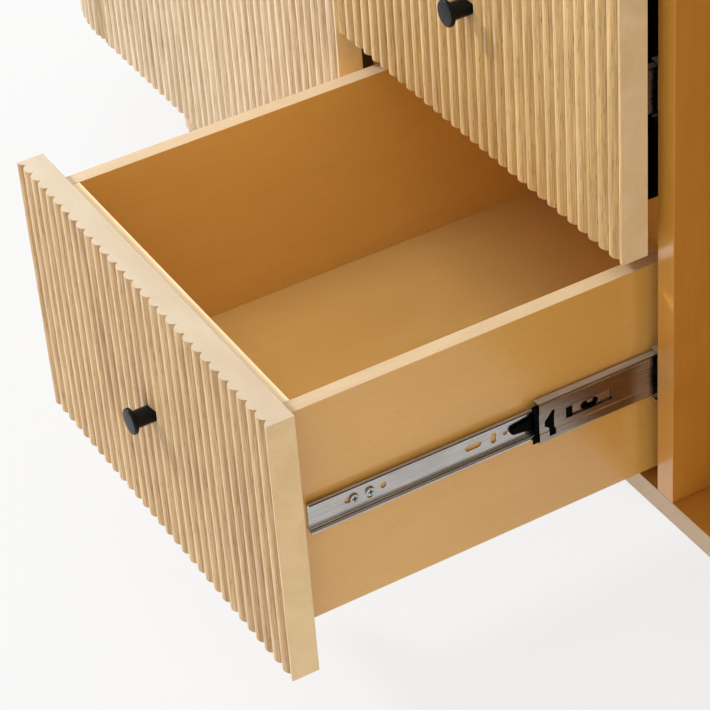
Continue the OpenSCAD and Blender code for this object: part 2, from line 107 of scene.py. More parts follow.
def add_node(tree: bpy.types.NodeTree, kind: str, settings: dict | None = None,
             inputs: dict | None = None) -> bpy.types.Node:
    """Adds one node with its settings, values and links.

    Args:
        tree: the material's node tree.
        kind: the node's type name.
        settings: attributes of the node.
        inputs: values or sockets by input name or number.

    Returns:
        The node.
    """
    node = tree.nodes.new(kind)
    for name, value in (settings or {}).items():
        setattr(node, name, value)
    for name, value in (inputs or {}).items():
        if isinstance(value, bpy.types.NodeSocket):
            tree.links.new(value, node.inputs[name])
        else:
            node.inputs[name].default_value = value
    return node


def set_ramp(node: bpy.types.Node, stops: list[tuple[float, str]]) -> bpy.types.NodeSocket:
    """Gives a colour ramp its stops.

    Args:
        node: the colour ramp.
        stops: places from 0 to 1 and hex colours.

    Returns:
        The ramp's colour socket.
    """
    points = node.color_ramp.elements
    while len(points) < len(stops):
        points.new(0.5)
    for point, (place, colour) in zip(points, stops):
        point.position = place
        point.color = linear(colour)
    return node.outputs["Color"]


def new_material(name: str) -> tuple[bpy.types.Material, bpy.types.NodeTree, bpy.types.Node]:
    """Makes a material that holds only a Principled shader.

    Args:
        name: the material's name.

    Returns:
        The material, its tree and the shader.
    """
    material = bpy.data.materials.new(name)
    material.use_nodes = True
    tree = material.node_tree
    return material, tree, tree.nodes["Principled BSDF"]


class Axis(Enum):
    """The axis that a grain or a brushed line follows."""

    X = 0
    Y = 1
    Z = 2


def scaled(tree: bpy.types.NodeTree, along: Axis, across_mm: float, along_mm: float,
           offset: float = 0.0) -> bpy.types.NodeSocket:
    """Stretches Object coordinates so that one unit is one grain of the given size.

    Args:
        tree: the material's node tree.
        along: the axis of the grain.
        across_mm: the grain's width.
        along_mm: the grain's length.
        offset: moves the pattern, so that two patterns don't match.

    Returns:
        The vector socket.
    """
    place = add_node(tree, "ShaderNodeTexCoord").outputs["Object"]
    scale = [1 / (across_mm * MM)] * 3
    scale[along.value] = 1 / (along_mm * MM)
    return add_node(tree, "ShaderNodeMapping", None, {
        "Vector": place, "Scale": scale, "Location": [offset * m for m in PATTERN_MOVES],
    }).outputs["Vector"]


# Finishes


def link_skin(tree: bpy.types.NodeTree, shader: bpy.types.Node, colour: bpy.types.NodeSocket,
              wear: bpy.types.NodeSocket, rough: tuple[float, float],
              height: bpy.types.NodeSocket, bump: float, depth_mm: float) -> None:
    """Links a surface's colour, roughness and relief to its shader.

    Args:
        tree: the material's node tree.
        shader: its Principled shader.
        colour: the base colour's socket.
        wear: the pattern that the roughness follows.
        rough: roughness at the pattern's low and high end.
        height: the pattern that the relief follows.
        bump: the relief's strength.
        depth_mm: the relief's depth.
    """
    low, high = PATTERN_RANGE
    roughness = add_node(tree, "ShaderNodeMapRange", None, {
        "Value": wear, "From Min": low, "From Max": high, "To Min": rough[0], "To Max": rough[1],
    }).outputs["Result"]
    relief = add_node(tree, "ShaderNodeBump", None, {
        "Strength": bump, "Distance": depth_mm * MM, "Height": height,
    }).outputs["Normal"]
    for name, socket in (("Base Color", colour), ("Roughness", roughness), ("Normal", relief)):
        tree.links.new(socket, shader.inputs[name])


def set_values(node: bpy.types.Node, values: dict[str, float]) -> None:
    """Sets values on a node's own sockets."""
    for name, value in values.items():
        node.inputs[name].default_value = value


@dataclass(frozen=True)
class Grain:
    """How a wood is marked. Streaks, figure and pores have a width and a length in mm.

    Real pores are narrower than 0.3 mm, which wouldn't show, so they are drawn 0.8 or 0.9 mm wide.
    """

    streak: tuple[float, float] = (1.6, 70.0)
    figure: tuple[float, float] = (34.0, 260.0)
    figure_share: float = 0.45
    pores: tuple[float, float] = (0.9, 11.0)
    pore_share: float = 0.35
    bump: float = 0.05


@dataclass(frozen=True)
class Lacquer:
    """The skin of a wood: its roughness, its clear coat, and the bloom of its fibres."""

    roughness: float = 0.42
    coat: float = 1.0
    coat_roughness: float = 0.18
    fuzz: float = 0.0


@dataclass(frozen=True)
class WoodFinish:
    """A lacquered wood, with its figure, grain streaks and open pores.

    The tones are those of the wood under its lacquer: dark, ground, light and pore.
    """

    name: str
    tones: str
    axis: Axis
    grain: Grain = Grain()
    skin: Lacquer = Lacquer()

    def make(self) -> bpy.types.Material:
        """Builds the material.

        Returns:
            The material.
        """
        material, tree, shader = new_material(self.name)
        grain, skin = self.grain, self.skin
        dark, ground, light, pore_colour = self.tones.split()
        streak, figure, pore = (add_node(tree, "ShaderNodeTexNoise", None, {
            "Vector": scaled(tree, self.axis, *size, offset), "Scale": 1.0, "Detail": detail,
            "Roughness": rough, "Distortion": bend,
        }).outputs["Fac"] for size, offset, detail, rough, bend in (
            (grain.streak, 0.0, 5.0, 0.62, 0.4), (grain.figure, 3.1, 3.0, 0.55, 1.2),
            (grain.pores, 7.7, 2.0, 0.5, 0.0)))
        tone = add_node(tree, "ShaderNodeMix", {"data_type": "FLOAT"}, {
            0: grain.figure_share, 2: streak, 3: figure,
        }).outputs[0]
        ramp = add_node(tree, "ShaderNodeValToRGB", None, {"Fac": tone})
        colour = set_ramp(ramp, [(0.36, dark), (0.5, ground), (0.64, light)])
        depth = add_node(tree, "ShaderNodeMapRange", None, {
            "Value": pore, "From Min": 0.6, "From Max": 0.72, "To Min": 0.0,
            "To Max": grain.pore_share,
        }).outputs["Result"]
        mixed = add_node(tree, "ShaderNodeMix", {"data_type": "RGBA"}, {
            0: depth, 6: colour, 7: linear(pore_colour),
        }).outputs[2]
        height = add_node(tree, "ShaderNodeMath", {"operation": "SUBTRACT"}, {
            0: tone, 1: depth,
        }).outputs[0]
        link_skin(tree, shader, mixed, streak, (skin.roughness + 0.06, skin.roughness - 0.06),
                  height, grain.bump, 0.3)
        set_values(shader, {"IOR": 1.5, "Coat Weight": skin.coat,
                            "Coat Roughness": skin.coat_roughness, "Sheen Weight": skin.fuzz,
                            "Sheen Roughness": 0.3})
        return material


@dataclass(frozen=True)
class MetalFinish:
    """Zinc-plated strip steel, with the faint lines that rolling leaves along it.

    The lines are drawn about 0.5 mm wide, coarser than real ones, so that they show.
    """

    name: str
    dark: str
    light: str
    along: Axis
    roughness: float = 0.3
    metallic: float = 1.0
    line: tuple[float, float] = (0.5, 60.0)
    cloud: tuple[float, float] = (12.0, 30.0)
    bump: float = 0.02

    def make(self) -> bpy.types.Material:
        """Builds the material.

        Returns:
            The material.
        """
        material, tree, shader = new_material(self.name)
        lines, cloud = (add_node(tree, "ShaderNodeTexNoise", None, {
            "Vector": scaled(tree, self.along, *size, offset), "Scale": 1.0, "Detail": 3.0,
            "Roughness": rough,
        }).outputs["Fac"] for size, offset, rough in (
            (self.line, 0.0, 0.6), (self.cloud, 2.0, 0.5)))
        tone = add_node(tree, "ShaderNodeMix", {"data_type": "FLOAT"}, {
            0: 0.5, 2: lines, 3: cloud,
        }).outputs[0]
        ramp = add_node(tree, "ShaderNodeValToRGB", None, {"Fac": tone})
        colour = set_ramp(ramp, [(0.35, self.dark), (0.65, self.light)])
        link_skin(tree, shader, colour, tone, (self.roughness + 0.08, self.roughness - 0.06),
                  lines, self.bump, 0.05)
        set_values(shader, {"Metallic": self.metallic})
        return material


@dataclass(frozen=True)
class CoatedFinish:
    """Paint, moulded plastic, glaze or honed stone: a ground with soft clouds and a fine skin.

    The grit of the skin is drawn about 0.5 mm wide or wider, coarser than the real one, so that
    it shows.
    """

    name: str
    dark: str
    light: str
    cloud_mm: float
    grit_mm: float
    roughness: float
    bump: float
    ior: float = 1.5
    coat: float = 0.0
    coat_roughness: float = 0.05

    def make(self) -> bpy.types.Material:
        """Builds the material.

        Returns:
            The material.
        """
        material, tree, shader = new_material(self.name)
        cloud, grit = (add_node(tree, "ShaderNodeTexNoise", None, {
            "Vector": scaled(tree, Axis.X, size, size, offset), "Scale": 1.0, "Detail": detail,
            "Roughness": 0.6, "Distortion": bend,
        }).outputs["Fac"] for size, offset, detail, bend in (
            (self.cloud_mm, 0.0, 5.0, 0.6), (self.grit_mm, 4.0, 2.0, 0.0)))
        ramp = add_node(tree, "ShaderNodeValToRGB", None, {"Fac": cloud})
        colour = set_ramp(ramp, [(0.35, self.dark), (0.6, self.light)])
        link_skin(tree, shader, colour, grit, (self.roughness * 0.9, self.roughness * 1.1),
                  grit, self.bump, 0.1)
        set_values(shader, {"IOR": self.ior, "Coat Weight": self.coat,
                            "Coat Roughness": self.coat_roughness})
        return material


RIB_GRAIN = Grain((0.9, 45.0), figure_share=0.25, pores=(0.8, 12.0), pore_share=0.6)
FAINT_RIB_GRAIN = replace(RIB_GRAIN, pore_share=0.5)
BOARD_GRAIN = Grain((3.0, 120.0), (60.0, 200.0), 0.7, pore_share=0.12, bump=0.03)
BOX_GRAIN = Grain((1.4, 30.0), (42.0, 150.0), 0.5, (0.9, 5.0), 0.3, 0.03)
BOTTOM_GRAIN = Grain((2.2, 90.0), (60.0, 200.0), 0.8, pore_share=0.08, bump=0.03)
INNER_GRAIN = Grain((1.6, 60.0), (30.0, 220.0), 0.4, pore_share=0.2, bump=0.03)
EDGE_GRAIN = Grain((2.0, 60.0), (40.0, 120.0), 0.7, pore_share=0.08, bump=0.02)
END_GRAIN = replace(EDGE_GRAIN, pore_share=0.05)
RIB_LACQUER = Lacquer(0.5, 0.12, 0.22, 0.7)
THIN_LACQUER = Lacquer(0.5, 0.1)
BARE_WOOD = Lacquer(0.5, 0.0)


class Finish(Enum):
    """Every finish of the unit, by the name of what it is."""

    # White oak, planed to ribs and lacquered satin: short dark pores run down each rib
    RIBBED_OAK = WoodFinish("ribbed_white_oak", "A27B48 C19C66 D8B683 6B4822", Axis.Z,
                            RIB_GRAIN, RIB_LACQUER)
    # The same oak on the closed fronts, brighter and more golden: painted light that the lamps
    # don't give the shut fronts
    LIT_FRONT_OAK = WoodFinish("ribbed_white_oak_painted_light", "A98550 CAA76C E2C189 70501F", Axis.Z,
                           RIB_GRAIN, RIB_LACQUER)
    # The same oak on the doors, paler as the photograph shows it
    DOOR_OAK = WoodFinish("pale_ribbed_white_oak", "AC8D66 CDB48F E5D0B3 7B5D3C", Axis.Z,
                          FAINT_RIB_GRAIN, RIB_LACQUER)
    # The same oak on the end panels, less yellow as the photograph shows its corner
    END_OAK = WoodFinish("end_ribbed_white_oak", "9F835D C1A680 D8C19D 745535", Axis.Z,
                         FAINT_RIB_GRAIN, RIB_LACQUER)
    # Stained board, lacquered: even amber with a soft figure, almost no pores
    CARCASS_WOOD = WoodFinish("amber_carcass_board", "CA8B31 CF9135 D4973C A9722B", Axis.Z,
                              BOARD_GRAIN)
    # The same board lying down, with its grain along the unit, made redder and darker: painted
    # shade, as it lies inside the unit under the drawers and doors
    SHADED_FLOOR_WOOD = WoodFinish("amber_floor_board_painted_shade", "AD6D22 B17326 B6782B 915A1E", Axis.X,
                            BOARD_GRAIN)
    # Box sides: mottled amber, with their figure along the drawer
    BOX_WOOD = WoodFinish("amber_box_board", "E0B05A E3B35D E6B661 C29148", Axis.Y, BOX_GRAIN)
    # The same board in the parts that run across
    CROSS_WOOD = WoodFinish("amber_cross_board", "E0B05A E3B35D E6B661 C29148", Axis.X,
                            BOX_GRAIN)
    # Drawer bottom: the same board lying flat, a little paler
    BOTTOM_WOOD = WoodFinish("amber_bottom_board", "E2B86C E5BC71 E8C076 C8A060", Axis.Y,
                             BOTTOM_GRAIN)
    # Sawn and sanded edges of the ribbed boards: paler and closer than their faces
    OAK_EDGE = WoodFinish("sanded_oak_edge", "E8CE9E EED6A7 F2DCB0 CCAE7C", Axis.X,
                          EDGE_GRAIN, BARE_WOOD)
    # The same edges on the closed fronts and on the tops of the inner fronts, paler: painted light
    # where the lamps and the taller front leave them too dim
    PAINTED_LIGHT_EDGE = WoodFinish("oak_edge_painted_light", "F0D9AE F4E0B8 F8E6C2 D8BC8C", Axis.X,
                           EDGE_GRAIN, BARE_WOOD)
    # Upper ends of the ribbed boards: sealed end grain, greyer and whiter than the edges as a
    # painted sheen
    SHEEN_OAK_END = WoodFinish("sealed_oak_end_painted_sheen", "C4B296 C8B79C CDBDA4 A89274", Axis.X, END_GRAIN)
    # Veneered inner faces of doors and fronts
    INNER_OAK = WoodFinish("veneered_inner_oak", "B79B70 C7AB7E D3B98F 93764C", Axis.Z,
                           INNER_GRAIN, THIN_LACQUER)
    # Eased top edges of the box: sanded, and paler and greyer than the boards as a painted sheen
    # on the upward faces
    SHEEN_BOARD_EDGE = WoodFinish("sanded_board_edge_painted_sheen", "CAAE88 CFB590 D4BC99 B09670", Axis.Y,
                            EDGE_GRAIN)
    # Front edge of the bottom board, more tan than the box's edges
    BOTTOM_EDGE = WoodFinish("sanded_bottom_edge", "BA996F BF9E75 C4A47C A2845C", Axis.X,
                             EDGE_GRAIN)
    # Turned legs of a pale wood, lacquered
    LEG_WOOD = WoodFinish("turned_pale_leg", "C3A07A D2B38F DEC4A4 9C7A55", Axis.Z)
    # Strip steel, zinc plated: grey with a soft gloss along the rail
    RUNNER_STEEL = MetalFinish("zinc_strip_steel", "A8A5A2", "C6C3BF", Axis.Y, 0.24)
    # The middle rails: the zinc steel made darker and browner, as painted shade and painted
    # reflection of the wood round them
    SHADED_RAIL_STEEL = MetalFinish("strip_steel_painted_shade", "8A8178", "A79F97", Axis.Y, 0.24)
    # Creases of the rails, darker and duller than the plain steel: painted shade in the bends
    CREASE_SHADE_STEEL = MetalFinish("steel_crease_painted_shade", "5F6C74", "75828A", Axis.Y, 0.4)
    # Outer faces of the rails' lips, paler and less metallic than the steel: painted sheen
    SHEEN_LIP_STEEL = MetalFinish("steel_lip_painted_sheen", "B9ACA2", "CDC4BC", Axis.Y, 0.5, 0.3)
    # Sheared edges of the rails, dark brown: painted shade, the dark line under each upper lip
    SHADE_LINE_STEEL = MetalFinish("steel_edge_painted_shade", "33261C", "443529", Axis.Y, 0.5, 0.5)
    # Turned and zinc-plated screws, with lathe lines across them
    SCREW_STEEL = MetalFinish("zinc_screw_steel", "9A9793", "CFCCC8", Axis.X, 0.25,
                              line=(0.4, 1.2), bump=0.05)
    # Turned steel knobs, sprayed satin black
    KNOB_BLACK = CoatedFinish("satin_black_knob", "07090B", "0B0D10", 30.0, 0.4, 0.34, 0.02,
                              ior=1.25)
    # Moulded black nylon of levers, stops and catches; it also blackens the painted shade strips
    # and the screws' recesses
    BLACK_PLASTIC = CoatedFinish("moulded_black_nylon", "020203", "050506", 20.0, 0.5, 0.5, 0.1,
                                 ior=1.1)
    # Moulded grey nylon of the glides
    GLIDE_PLASTIC = CoatedFinish("moulded_grey_glide", "34343A", "44444A", 20.0, 0.6, 0.55, 0.1)
    # Honed white stone with faint clouds
    STONE = CoatedFinish("honed_white_stone", "C0BDB7", "D1CEC9", 160.0, 1.2, 0.3, 0.03,
                         coat=0.2, coat_roughness=0.15)
    # White glaze fired on vitreous china
    GLAZE = CoatedFinish("white_glazed_china", "C9C9C7", "D2D2D0", 220.0, 3.0, 0.12, 0.02,
                         coat=0.6)


# A ribbed board's finishes: its ribs, its sawn edges, its upper end and its inner face
RIBBED = [Finish.RIBBED_OAK, Finish.OAK_EDGE, Finish.SHEEN_OAK_END, Finish.INNER_OAK]
# The shut fronts take brighter copies of the ribs' and edges' finishes, as painted light
CLOSED_RIBBED = [Finish.LIT_FRONT_OAK, Finish.PAINTED_LIGHT_EDGE, *RIBBED[2:]]
DOOR_RIBBED = [Finish.DOOR_OAK, *RIBBED[1:]]
END_RIBBED = [Finish.END_OAK, *RIBBED[1:]]
MATERIALS: dict[Finish, bpy.types.Material] = {}


def material_of(finish: Finish) -> bpy.types.Material:
    """Finds a finish's material, and makes it the first time.

    Args:
        finish: the finish.

    Returns:
        Its material.
    """
    if finish not in MATERIALS:
        MATERIALS[finish] = finish.value.make()
    return MATERIALS[finish]


# Drawing and making pieces


@dataclass
class Sketch:
    """A closed outline drawn point by point in a plane, which then becomes a solid.

    The first two coordinates are the plane's, and the solid grows along the third.
    """

    work: bmesh.types.BMesh = field(default_factory=bmesh.new)
    first: bmesh.types.BMVert | None = None
    last: bmesh.types.BMVert | None = None

    def start(self, x: float, y: float) -> "Sketch":
        """Starts the outline at a point."""
        self.first = self.last = self.work.verts.new((x, y, 0.0))
        return self

    @classmethod
    def traced(cls, along: float, points_mm: list[tuple[float, float]]) -> "Sketch":
        """Starts an outline with straight lines through a row of points.

        Args:
            along: the place along the first axis that the points are counted from.
            points_mm: the points, in millimetres.

        Returns:
            The sketch.
        """
        first, *others = [(along + x * MM, y * MM) for x, y in points_mm]
        return cls().start(*first).line(*others)

    def line(self, *points: tuple[float, float]) -> "Sketch":
        """Draws straight lines through points.

        Args:
            points: the points in the sketch's plane.

        Returns:
            The sketch.
        """
        for x, y in points:
            vertex = self.work.verts.new((x, y, 0.0))
            self.work.edges.new((self.last, vertex))
            self.last = vertex
        return self

    def arc(self, centre: tuple[float, float], angle: float, steps: int) -> "Sketch":
        """Draws an arc round a centre.

        Args:
            centre: the arc's centre.
            angle: how far it turns, in radians, positive to the left.
            steps: the number of straight pieces.

        Returns:
            The sketch.
        """
        made = bmesh.ops.spin(
            self.work, geom=[self.last], cent=(*centre, 0.0), axis=(0.0, 0.0, 1.0),
            dvec=(0.0, 0.0, 0.0), angle=angle, steps=steps, use_merge=False,
            use_normal_flip=False, use_duplicate=False)
        self.last = next(v for v in made["geom_last"] if isinstance(v, bmesh.types.BMVert))
        return self

    def arc_to(self, centre: tuple[float, float], end: tuple[float, float],
               steps: int) -> "Sketch":
        """Draws the shorter arc round a centre, up to the direction of a point.

        Args:
            centre: the arc's centre.
            end: the point in whose direction it ends.
            steps: the number of straight pieces.

        Returns:
            The sketch.
        """
        a = Vector((self.last.co.x - centre[0], self.last.co.y - centre[1]))
        b = Vector((end[0] - centre[0], end[1] - centre[1]))
        angle = math.atan2(a.x * b.y - a.y * b.x, a.dot(b))
        return self.arc(centre, angle, steps) if abs(angle) > TINY else self

    def close(self) -> "Sketch":
        """Joins the last point to the first and fills the outline.

        Returns:
            The sketch.
        """
        self.work.edges.new((self.last, self.first))
        bmesh.ops.contextual_create(self.work, geom=self.work.edges[:])
        return self

    def solid(self, height: float, place: Matrix | None = None) -> bmesh.types.BMesh:
        """Makes the filled outline a solid.

        Args:
            height: how far it grows along the third axis.
            place: where the solid goes, if not where it was drawn.

        Returns:
            The solid.
        """
        made = bmesh.ops.extrude_face_region(self.work, geom=self.work.faces[:],
                                             use_keep_orig=True)
        moved = [v for v in made["geom"] if isinstance(v, bmesh.types.BMVert)]
        bmesh.ops.translate(self.work, verts=moved, vec=(0.0, 0.0, height))
        if place is not None:
            bmesh.ops.transform(self.work, matrix=place, verts=self.work.verts)
        bmesh.ops.recalc_face_normals(self.work, faces=self.work.faces)
        return self.work


def lathe(points: list[tuple[float, float]], steps: int, place: Matrix) -> bmesh.types.BMesh:
    """Turns a half section round the third axis.

    Args:
        points: radius and height of each point. The ends lie on the axis, or the section closes.
        steps: the number of flats round the piece.
        place: where the piece goes.

    Returns:
        The turned solid.
    """
    work = bmesh.new()
    row = [work.verts.new((r, 0.0, z)) for r, z in points]
    edges = [work.edges.new(pair) for pair in zip(row, row[1:])]
    if points[0][0] > 0:
        edges.append(work.edges.new((row[-1], row[0])))
    bmesh.ops.spin(work, geom=row + edges, cent=(0.0, 0.0, 0.0), axis=(0.0, 0.0, 1.0),
                   dvec=(0.0, 0.0, 0.0), angle=math.tau, steps=steps, use_merge=True,
                   use_normal_flip=False, use_duplicate=False)
    bmesh.ops.remove_doubles(work, verts=work.verts, dist=WELD)
    bmesh.ops.transform(work, matrix=place, verts=work.verts)
    bmesh.ops.recalc_face_normals(work, faces=work.faces)
    return work


def ease(work: bmesh.types.BMesh, radius: float, steps: int,
         chosen: list[bmesh.types.BMEdge]) -> None:
    """Eases chosen edges of a solid.

    Args:
        work: the solid.
        radius: width that the easing takes off each face.
        steps: the number of flats across the easing.
        chosen: the edges.
    """
    bmesh.ops.bevel(work, geom=chosen, offset=radius, offset_type="OFFSET", segments=steps,
                    affect="EDGES", profile=0.5, material=-1, clamp_overlap=True)


def sharp_edges(work: bmesh.types.BMesh, degrees: float = 30.0) -> list[bmesh.types.BMEdge]:
    """Lists the edges that turn by more than an angle."""
    limit = math.radians(degrees)
    return [e for e in work.edges if len(e.link_faces) == 2 and e.calc_face_angle() > limit]


def join(work: bmesh.types.BMesh, other: bmesh.types.BMesh) -> None:
    """Adds another solid to a solid's mesh.

    Args:
        work: the solid that grows.
        other: the solid that is added, which is freed.
    """
    mesh = bpy.data.meshes.new("joined")
    other.to_mesh(mesh)
    other.free()
    work.from_mesh(mesh)
    bpy.data.meshes.remove(mesh)


def mirrored(work: bmesh.types.BMesh) -> bmesh.types.BMesh:
    """Copies a left solid to the right of the unit.

    Args:
        work: the left solid, which stays.

    Returns:
        The right solid.
    """
    other = work.copy()
    bmesh.ops.scale(other, vec=(-1.0, 1.0, 1.0), verts=other.verts)
    bmesh.ops.reverse_faces(other, faces=other.faces)
    return other


def add_piece(work: bmesh.types.BMesh, name: str, body: str, finishes: list[Finish],
              stands_for: list[str], smooth: float = 28.0) -> None:
    """Turns a solid into a piece that rides on a body.

    Args:
        work: the solid, which is freed.
        name: the piece's name.
        body: the body that it rides on.
        finishes: its finishes, by the faces' material numbers.
        stands_for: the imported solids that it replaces.
        smooth: edges that turn by less than this many degrees are shaded smooth.
    """
    limit = math.radians(smooth)
    for face in work.faces:
        face.smooth = True
    for edge in work.edges:
        edge.smooth = len(edge.link_faces) == 2 and edge.calc_face_angle(0.0) < limit
    mesh = bpy.data.meshes.new(name)
    work.to_mesh(mesh)
    work.free()
    for finish in finishes:
        mesh.materials.append(material_of(finish))
    piece = bpy.data.objects.new(name, mesh)
    bpy.context.scene.collection.objects.link(piece)
    even = piece.modifiers.new("even_shading", "WEIGHTED_NORMAL")
    even.keep_sharp, even.weight = True, 100
    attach(piece, body)
    if stands_for:
        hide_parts(*stands_for)
    log.info("%s rides on %s", name, body)


def cut(work: bmesh.types.BMesh, cutters: list[bmesh.types.BMesh]) -> bmesh.types.BMesh:
    """Cuts holes into a solid.

    Args:
        work: the solid, which is freed.
        cutters: the solids that are taken away, which are freed.

    Returns:
        The solid with its holes.
    """
    scene = bpy.context.scene
    solids = []
    for i, part in enumerate([work, *cutters]):
        mesh = bpy.data.meshes.new(f"cut_{i}")
        part.to_mesh(mesh)
        part.free()
        solid = bpy.data.objects.new(f"cut_{i}", mesh)
        scene.collection.objects.link(solid)
        solids.append(solid)
    for tool in solids[1:]:
        step = solids[0].modifiers.new("hole", "BOOLEAN")
        step.operation, step.solver, step.object = "DIFFERENCE", "EXACT", tool
    bpy.context.view_layer.update()
    shape = solids[0].evaluated_get(bpy.context.evaluated_depsgraph_get())
    result = bmesh.new()
    result.from_mesh(shape.to_mesh())
    shape.to_mesh_clear()
    for solid in solids:
        mesh = solid.data
        bpy.data.objects.remove(solid)
        bpy.data.meshes.remove(mesh)
    return result


def box_solid(low: tuple[float, float, float], high: tuple[float, float, float],
              eased: float = 0.0) -> bmesh.types.BMesh:
    """Makes a block.

    Args:
        low, high: its opposite corners.
        eased: radius of its edges, or 0 for sharp ones.

    Returns:
        The block.
    """
    work = bmesh.new()
    bmesh.ops.create_cube(work, size=1.0)
    size = [b - a for a, b in zip(low, high)]
    bmesh.ops.scale(work, vec=size, verts=work.verts)
    bmesh.ops.translate(work, vec=[(a + b) / 2 for a, b in zip(low, high)], verts=work.verts)
    if eased:
        ease(work, eased, 2, work.edges[:])
    return work


def side_on(x: float, y: float = 0.0, z: float = 0.0) -> Matrix:
    """Returns the place of an outline drawn in Y and Z, which grows along X from a plane."""
    return Matrix(((0, 0, 1, x), (1, 0, 0, y), (0, 1, 0, z), (0, 0, 0, 1)))


def slot_cutter(y: float, z: float, length: float, height: float, x: float,
                depth: float) -> bmesh.types.BMesh:
    """Makes a round-ended cutter through a rail's web.

    Args:
        y, z: its middle.
        length: its size along Y.
        height: its size along Z.
        x: where it starts.
        depth: how far it goes along X.

    Returns:
        The cutter.
    """
    r = min(length, height) / 2
    half = Vector((length / 2 - r, height / 2 - r))
    flat = length >= height
    a, b = ((half.x, 0.0), (-half.x, 0.0)) if flat else ((0.0, half.y), (0.0, -half.y))
    begin = (a[0], a[1] - r) if flat else (a[0] + r, a[1])
    turn = (b[0], b[1] + r) if flat else (b[0] - r, b[1])
    sketch = Sketch().start(*begin).arc(a, math.pi, ROUND_STEPS).line(turn)
    return sketch.arc(b, math.pi, ROUND_STEPS).close().solid(depth, side_on(x, y, z))


# Ribbed faces


@dataclass(frozen=True)
class RibRow:
    """The ribs: arcs side by side, each over one pitch."""

    pitch: float = 12.7 * MM
    depth: float = 4.0 * MM
    land: float = 0.5 * MM
    flats: int = 12

    @property
    def radius(self) -> float:
        """Radius of a rib's arc."""
        return (self.pitch ** 2 / 4 + self.depth ** 2) / (2 * self.depth)

    def draw(self, sketch: Sketch, centres: list[Vector], outside: list[Vector],
             end: Vector) -> None:
        """Draws the ribs from the sketch's last point.

        Args:
            sketch: the outline, whose last point lies on the first rib.
            centres: middle of each rib's arc.
            outside: the way that each rib faces.
            end: the last point, on the last rib.
        """
        r = self.radius
        for i, centre in enumerate(centres):
            target = end
            if i + 1 < len(centres):
                middle = (centre + centres[i + 1]) / 2
                half = (centres[i + 1] - centre).length / 2
                face = (outside[i] + outside[i + 1]).normalized()
                target = middle + face * math.sqrt(max(r * r - half * half, 0.0))
            sketch.arc_to(tuple(centre), tuple(target), self.flats if 0 < i else self.flats // 2)


def crossing(c1: Vector, r1: float, c2: Vector, r2: float, near: Vector) -> Vector:
    """Finds where two circles cross.

    Args:
        c1, r1: the first circle's middle and radius.
        c2, r2: the second circle's middle and radius.
        near: a point near the crossing that is wanted.

    Returns:
        The crossing that lies nearer to that point.
    """
    d = (c2 - c1).length
    a = (r1 * r1 - r2 * r2 + d * d) / (2 * d)
    h = math.sqrt(max(r1 * r1 - a * a, 0.0))
    along = (c2 - c1) / d
    foot = c1 + along * a
    side = Vector((-along.y, along.x)) * h
    return min((foot + side, foot - side), key=lambda p: (p - near).length)


# The studio


@dataclass(frozen=True)
class Lamp:
    """A square soft lamp that faces the studio's target.

    It hangs at a distance from the target, on the way that is given. Its size is one side's
    length, and its power is in watts.
    """

    name: str
    way: tuple[float, float, float]
    distance: float
    size: float
    watts: float

    def hang(self, target: Vector) -> None:
        """Hangs the lamp.

        Args:
            target: the point that it faces.
        """
        data = bpy.data.lights.new(self.name, "AREA")
        data.shape, data.size, data.energy = "SQUARE", self.size, self.watts
        body = bpy.data.objects.new(self.name, data)
        bpy.context.scene.collection.objects.link(body)
        out = Vector(self.way).normalized()
        body.location = target + out * self.distance
        body.rotation_mode = "QUATERNION"
        body.rotation_quaternion = (-out).to_track_quat("-Z", "Y")
        body.visible_camera = False


